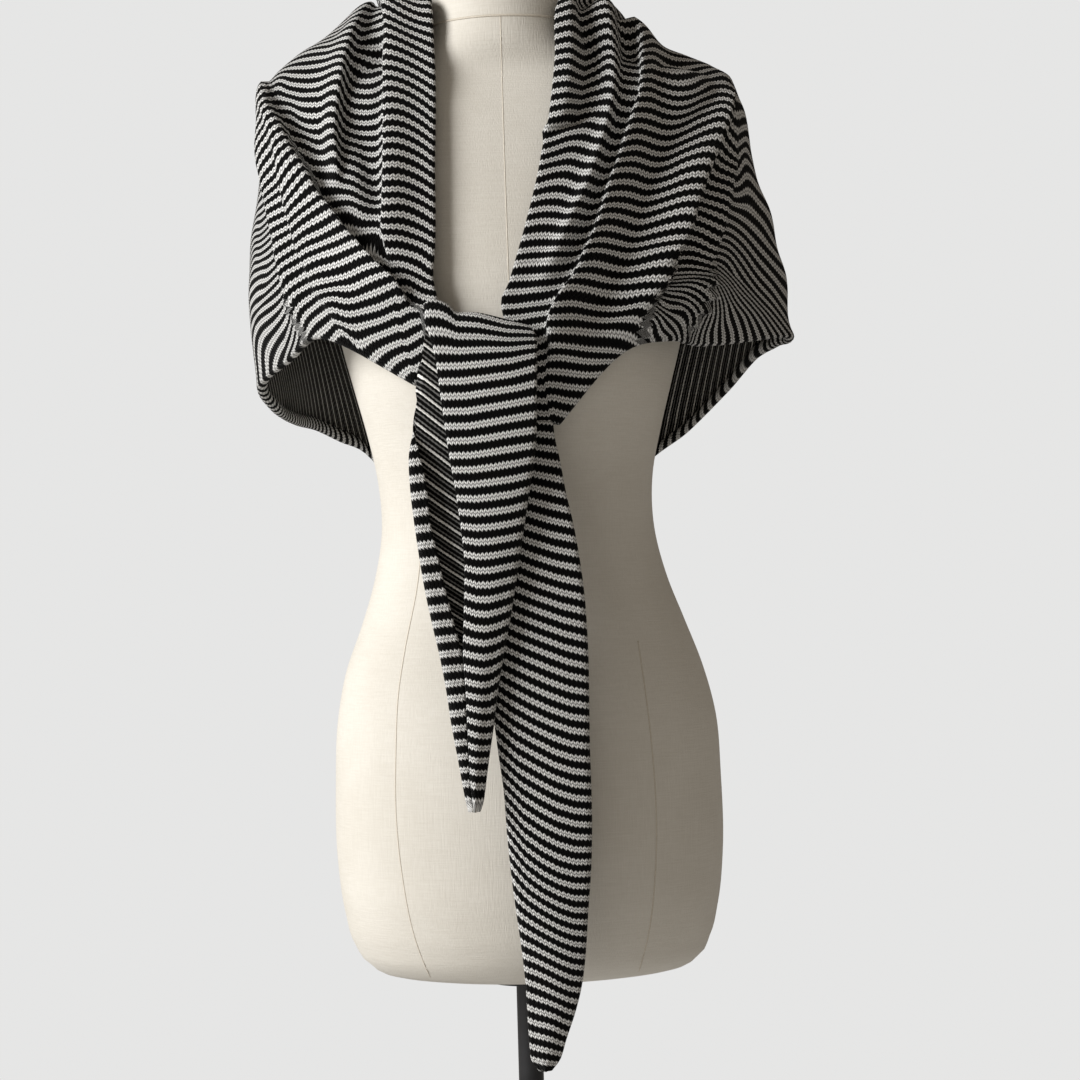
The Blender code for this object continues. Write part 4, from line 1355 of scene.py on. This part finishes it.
SHORT_TAIL = tuple(TailSection(*row) for row in (
    (1217, -128.5, 60, -15, -66.1, -66.1, -64.5, 14.5, 0.5, (-0.85, -1.03, -1.25, -1.47, -1.21), -0.47, 1),
    (1212.5, -133.5, 32, -14, -65.9, -65.9, -63.6, 17.6, 0.6, (-0.34, -0.47, -0.68, -0.90, -0.59), -0.08,
     0.8),
    (1202, -136.5, 8, -10, -65.6, -65.6, -63.0, 20.2, 0.7, (0.59, 0.56, 0.49, 0.36, 0.70), 0.83, 0.5),
    (1190, -137.2, 0, -5, -67.3, -67.3, -59.0, 20.1, 0.8, (1.53, 1.53, 1.57, 1.61, 2.02), 1.87, 0.2),
    (1174, -137.5, 0, 0, -69.6, -69.6, -55.8, 19.8, 0.8, (2.81, 2.78, 2.89, 3.06, 3.52), 3.26, 0),
    (1150, -138, 0, 0, -73.2, -73.2, -53.2, 19.1, 0.9, (4.93, 4.90, 5.10, 5.31, 5.63), 5.35, 0),
    (1128, -138.8, 0, 0, -75.7, -74.8, -50.8, 18.5, 2.5, (6.88, 6.85, 7.06, 7.30, 7.51), 7.26, 0),
    (1106, -139.5, 0, 0, -78.1, -69.6, -48.0, 16.7, 5, (8.88, 8.87, 9.04, 9.24, 9.47), 9.48, 0),
    (1080, -140.3, 0, 0, -77.8, -65.0, -44.1, 12.2, 7, (11.32, 11.25, 11.37, 11.52, 11.83), 11.58, 0),
    (1056, -141, 0, 0, -75.6, -63.2, -41.1, 7.9, 8, (13.64, 13.46, 13.53, 13.68, 13.95), 13.51, 0),
    (1030, -141, 0, 0, -72.5, -58.1, -38.7, 3.4, 8, (16.11, 15.88, 15.93, 16.09, 16.29), 15.64, 0),
    (1006, -141, 0, 0, -69.1, -53.3, -39.0, -0.7, 8, (18.47, 18.15, 18.14, 18.33, 18.57), 17.65, 0),
    (980, -141, 0, 0, -64.3, -47.4, -40.4, -5.7, 8, (20.95, 20.61, 20.50, 20.69, 21.03), 19.86, 0),
    (955, -141, 0, 0, -59.1, -42.1, -41.4, -10.7, 8, (23.22, 23.00, 22.85, 22.98, 23.40), 22.09, 0),
    (930, -141, 0, 0, -55.0, -40.8, -40.3, -15.6, 8, (25.61, 25.44, 25.30, 25.37, 25.78), 24.35, 0),
    (905, -141, 0, 0, -51.9, -40.1, -39.7, -19.2, 7, (28.27, 28.09, 27.94, 27.87, 28.00), 26.57, 0),
    (880, -140.5, 0, 0, -47.9, -39.6, -39.2, -23.5, 5, (30.86, 30.71, 30.64, 30.61, 30.63), 28.92, 0),
    (860, -140, 0, 0, -44.8, -38.9, -38.5, -26.6, 4, (32.91, 32.81, 32.76, 32.74, 32.73), 30.91, 0),
    (846, -139.5, 0, 0, -42.5, -37.8, -37.4, -28.8, 3.5, (33.92, 33.92, 33.92, 33.92, 33.92), 31.95, 0),
    (838, -139, 0, 0, -40.8, -37.1, -36.4, -31.5, 3, (34.08, 34.08, 34.08, 34.08, 34.08), 32.1, 0)))

LONG_TAIL = tuple(TailSection(*row) for row in (
    (1130.2, -121.5, 0, 0, -36.0, -1.2, 21.6, 30.6, 1.5, (0.01, -0.28, -0.55, -0.80, -1.02, -1.15)),
    (1116, -122, 0, 0, -38.0, -1.6, 22.9, 31.9, 1.8, (1.61, 1.25, 0.92, 0.62, 0.40, 0.23)),
    (1100, -123, 0, 0, -40.0, -0.9, 26.1, 35.1, 2.2, (3.40, 2.98, 2.57, 2.20, 1.94, 1.67)),
    (1075, -124.2, 0, 0, -42.0, 0.1, 30.1, 39.1, 2.8, (6.18, 5.67, 5.15, 4.64, 4.21, 3.81)),
    (1050, -125.2, 0, 0, -44.0, 1.6, 35.2, 44.2, 3.6, (8.89, 8.32, 7.72, 7.02, 6.43, 6.03)),
    (1020, -126, 0, 0, -42.0, 4.8, 39.6, 48.6, 4.4, (12.04, 11.38, 10.68, 9.81, 9.18, 8.77)),
    (990, -126.5, 0, 0, -38.0, 8.2, 42.4, 51.4, 5, (15.08, 14.28, 13.43, 12.67, 11.99, 11.52)),
    (950, -127.2, 0, 0, -29.0, 13.3, 43.6, 52.6, 5.5, (19.07, 18.07, 17.22, 16.49, 15.83, 15.38)),
    (910, -128, 0, 0, -21.0, 17.1, 43.2, 52.2, 6, (23.22, 21.88, 20.97, 20.26, 19.70, 19.42)),
    (880, -128.8, 0, 0, -17.3, 18.8, 42.9, 51.9, 6.4, (26.21, 24.78, 23.92, 23.14, 22.61, 22.38)),
    (850, -129.5, 0, 0, -13.9, 20.6, 43.1, 52.1, 6.8, (29.32, 27.74, 26.84, 26.10, 25.60, 25.40)),
    (820, -130.2, 0, 0, -12.4, 21.2, 42.8, 51.8, 7, (32.70, 30.86, 29.87, 29.13, 28.67, 28.52)),
    (790, -130.7, 0, 0, -10.2, 21.5, 41.0, 50.2, 7, (35.64, 34.08, 33.04, 32.30, 31.86, 31.81)),
    (760, -131.1, 0, 0, -7.0, 21.6, 38.0, 47.3, 7, (38.16, 37.27, 36.46, 35.74, 35.24, 35.10)),
    (730, -131.4, 0, 0, -3.5, 22.1, 34.0, 44.7, 6.5, (40.88, 40.47, 39.90, 39.29, 38.78, 38.55)),
    (705, -131.5, 0, 0, -1.4, 21.3, 29.0, 41.1, 6, (43.44, 43.13, 42.74, 42.21, 41.75, 41.53)),
    (685, -131.5, 0, 0, -0.7, 19.0, 25.0, 35.7, 5, (45.48, 45.21, 45.03, 44.70, 44.22, 43.88)),
    (665, -131.3, 0, 0, 0.1, 15.8, 19.5, 28.5, 4, (47.55, 47.38, 47.26, 47.07, 46.75, 46.42)),
    (650, -131.1, 0, 0, 1.2, 13.9, 16.5, 23.5, 3, (49.09, 48.98, 48.89, 48.80, 48.66, 48.48)),
    (641.5, -131, 0, 0, 6.7, 13.3, 15.8, 17.0, 2, (49.93, 49.85, 49.79, 49.74, 49.71, 49.65))))


@dataclass
class ScarfKnot:
    """The hidden turns of the half knot, a rounded roll of knit behind the short tail."""
    face: bpy.types.Material
    left: float = -50.0
    right: float = -9.0
    back: float = -111.3
    front: float = -130.4
    bottom: float = 1134.0
    top: float = 1199.0
    rounding: float = 7.0
    square: float = 0.6
    sides: int = 64
    rings: int = 8
    pair: float = 10.5

    def ring(self, z: float, inset: float) -> np.ndarray:
        """Find the points of one level.

        Args:
            z: The level's height in mm.
            inset: How far it is drawn in, in mm.

        Returns:
            The points in mm.
        """
        angle = np.arange(self.sides) * math.tau / self.sides
        half_x = (self.right - self.left) / 2 - inset
        half_y = (self.back - self.front) / 2 - inset / 2
        cosine, sine = np.cos(angle), np.sin(angle)
        x = (self.left + self.right) / 2 + np.copysign(np.abs(cosine) ** self.square, cosine) * half_x
        y = (self.back + self.front) / 2 + np.copysign(np.abs(sine) ** self.square, sine) * half_y
        return np.stack([x, y, np.full(self.sides, z)], axis=1)

    def build(self) -> bpy.types.Object:
        """Build the roll and its stripes.

        Returns:
            The knot.
        """
        angles = np.linspace(0, math.pi / 2, self.rings)
        insets = [self.rounding * (1 - math.sin(a)) for a in angles]
        rises = [self.rounding * (1 - math.cos(a)) for a in angles]
        rings = [self.ring(self.bottom + rise, inset) for rise, inset in zip(rises, insets)]
        rings += [self.ring(self.top - inset, rise) for rise, inset in zip(rises, insets)]
        bm = stacked_skin(rings)
        layer = bm.loops.layers.uv.new("knit")
        for face in bm.faces:
            for corner in face.loops:
                x, y, z = corner.vert.co
                corner[layer].uv = (z / (self.pair * MM), x - y)
        return place_piece(finished("knit_knot", bm, [self.face]), "knit", "scarf_knot")


@dataclass
class Studio:
    """Plain pale floor, soft light and the camera at the photo's place."""
    eye: Point = (0.0184, -2.1, 1.04)
    lens: float = 87.5
    sensor: float = 36
    roll: float = 1.54
    backdrop: Colour = (0.79, 0.79, 0.785)
    fill: Colour = (0.225, 0.203, 0.176)
    floor_size: float = 2.7
    floor_tones: tuple[Colour, Colour] = ((0.74, 0.74, 0.735), (0.78, 0.78, 0.775))
    lamp_place: Point = (-2.5, -1.35, 2.1)
    lamp_aim: Point = (0, 0, 1.05)
    lamp_size: float = 1.4
    watts: float = 108

    def lamp(self, name: str, place: Point, aim: Point) -> None:
        """Add the soft square lamp.

        Args:
            name: Its name.
            place: Where it stands, in metres.
            aim: The point that it looks at.
        """
        light = bpy.data.lights.new(name, "AREA")
        light.size = self.lamp_size
        light.energy = self.watts
        holder = bpy.data.objects.new(name, light)
        bpy.context.scene.collection.objects.link(holder)
        turn = (Vector(aim) - Vector(place)).to_track_quat("-Z", "Y")
        holder.matrix_world = Matrix.Translation(place) @ turn.to_matrix().to_4x4()

    def floor(self) -> None:
        """Lay the plain floor."""
        bm = bmesh.new()
        bmesh.ops.create_grid(bm, x_segments=1, y_segments=1, size=self.floor_size)
        graph = Graph("pale floor")
        graph.paint(graph.mix(graph.noise(graph.place(), 3.0, 3), *self.floor_tones))
        graph.surface(roughness=0.8)
        finished("floor", bm, [graph.material])

    def room(self) -> None:
        """Light the room evenly and weakly, with a pale backdrop behind the object."""
        world = bpy.data.worlds.new("room")
        world.use_nodes = True
        tree = world.node_tree
        seen, fill = tree.nodes["Background"], tree.nodes.new("ShaderNodeBackground")
        seen.inputs["Color"].default_value = (*self.backdrop, 1)
        fill.inputs["Color"].default_value = (*self.fill, 1)
        path, pick = tree.nodes.new("ShaderNodeLightPath"), tree.nodes.new("ShaderNodeMixShader")
        for number, output in enumerate((path.outputs["Is Camera Ray"], fill.outputs[0], seen.outputs[0])):
            tree.links.new(output, pick.inputs[number])
        tree.links.new(pick.outputs[0], tree.nodes["World Output"].inputs["Surface"])
        bpy.context.scene.world = world
        bpy.context.scene.view_settings.view_transform = "Standard"

    def camera(self) -> None:
        """Set the camera at the photo's place."""
        camera = bpy.data.objects.new("camera", bpy.data.cameras.new("camera"))
        camera.data.lens = self.lens
        camera.data.sensor_width = self.sensor
        camera.matrix_world = (Matrix.Translation(self.eye) @ Matrix.Rotation(math.pi / 2, 4, "X")
                               @ Matrix.Rotation(-math.radians(self.roll), 4, "Z"))
        bpy.context.scene.collection.objects.link(camera)
        bpy.context.scene.camera = camera

    def build(self) -> None:
        """Set the floor, the room's light, the lamp and the camera."""
        self.floor()
        self.room()
        self.lamp("key", self.lamp_place, self.lamp_aim)
        self.camera()


def main() -> None:
    """Build every sub-assembly in order."""
    logging.basicConfig(level=logging.INFO, format="%(name)s: %(message)s")
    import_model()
    knit = StripedKnit()
    face, purl = knit.material(KnitSide.FACE), knit.material(KnitSide.PURL)
    form = DressForm(Linen().material(), SeamThread().material())
    form.build()
    Stand(DarkSteel().material()).build()
    ScarfWrap(face, purl, form).build()
    ScarfKnot(face).build()
    ScarfTail(face, purl, "knit_short_tail", "scarf_short_tail", Opening.FRONT, SHORT_TAIL,
              (0.25, 0.42), 0.045).build()
    ScarfTail(face, purl, "knit_long_tail", "scarf_long_tail", Opening.BACK, LONG_TAIL,
              (0.25, 0.5), 0.06).build()
    Studio().build()


if __name__ == "__main__":
    main()
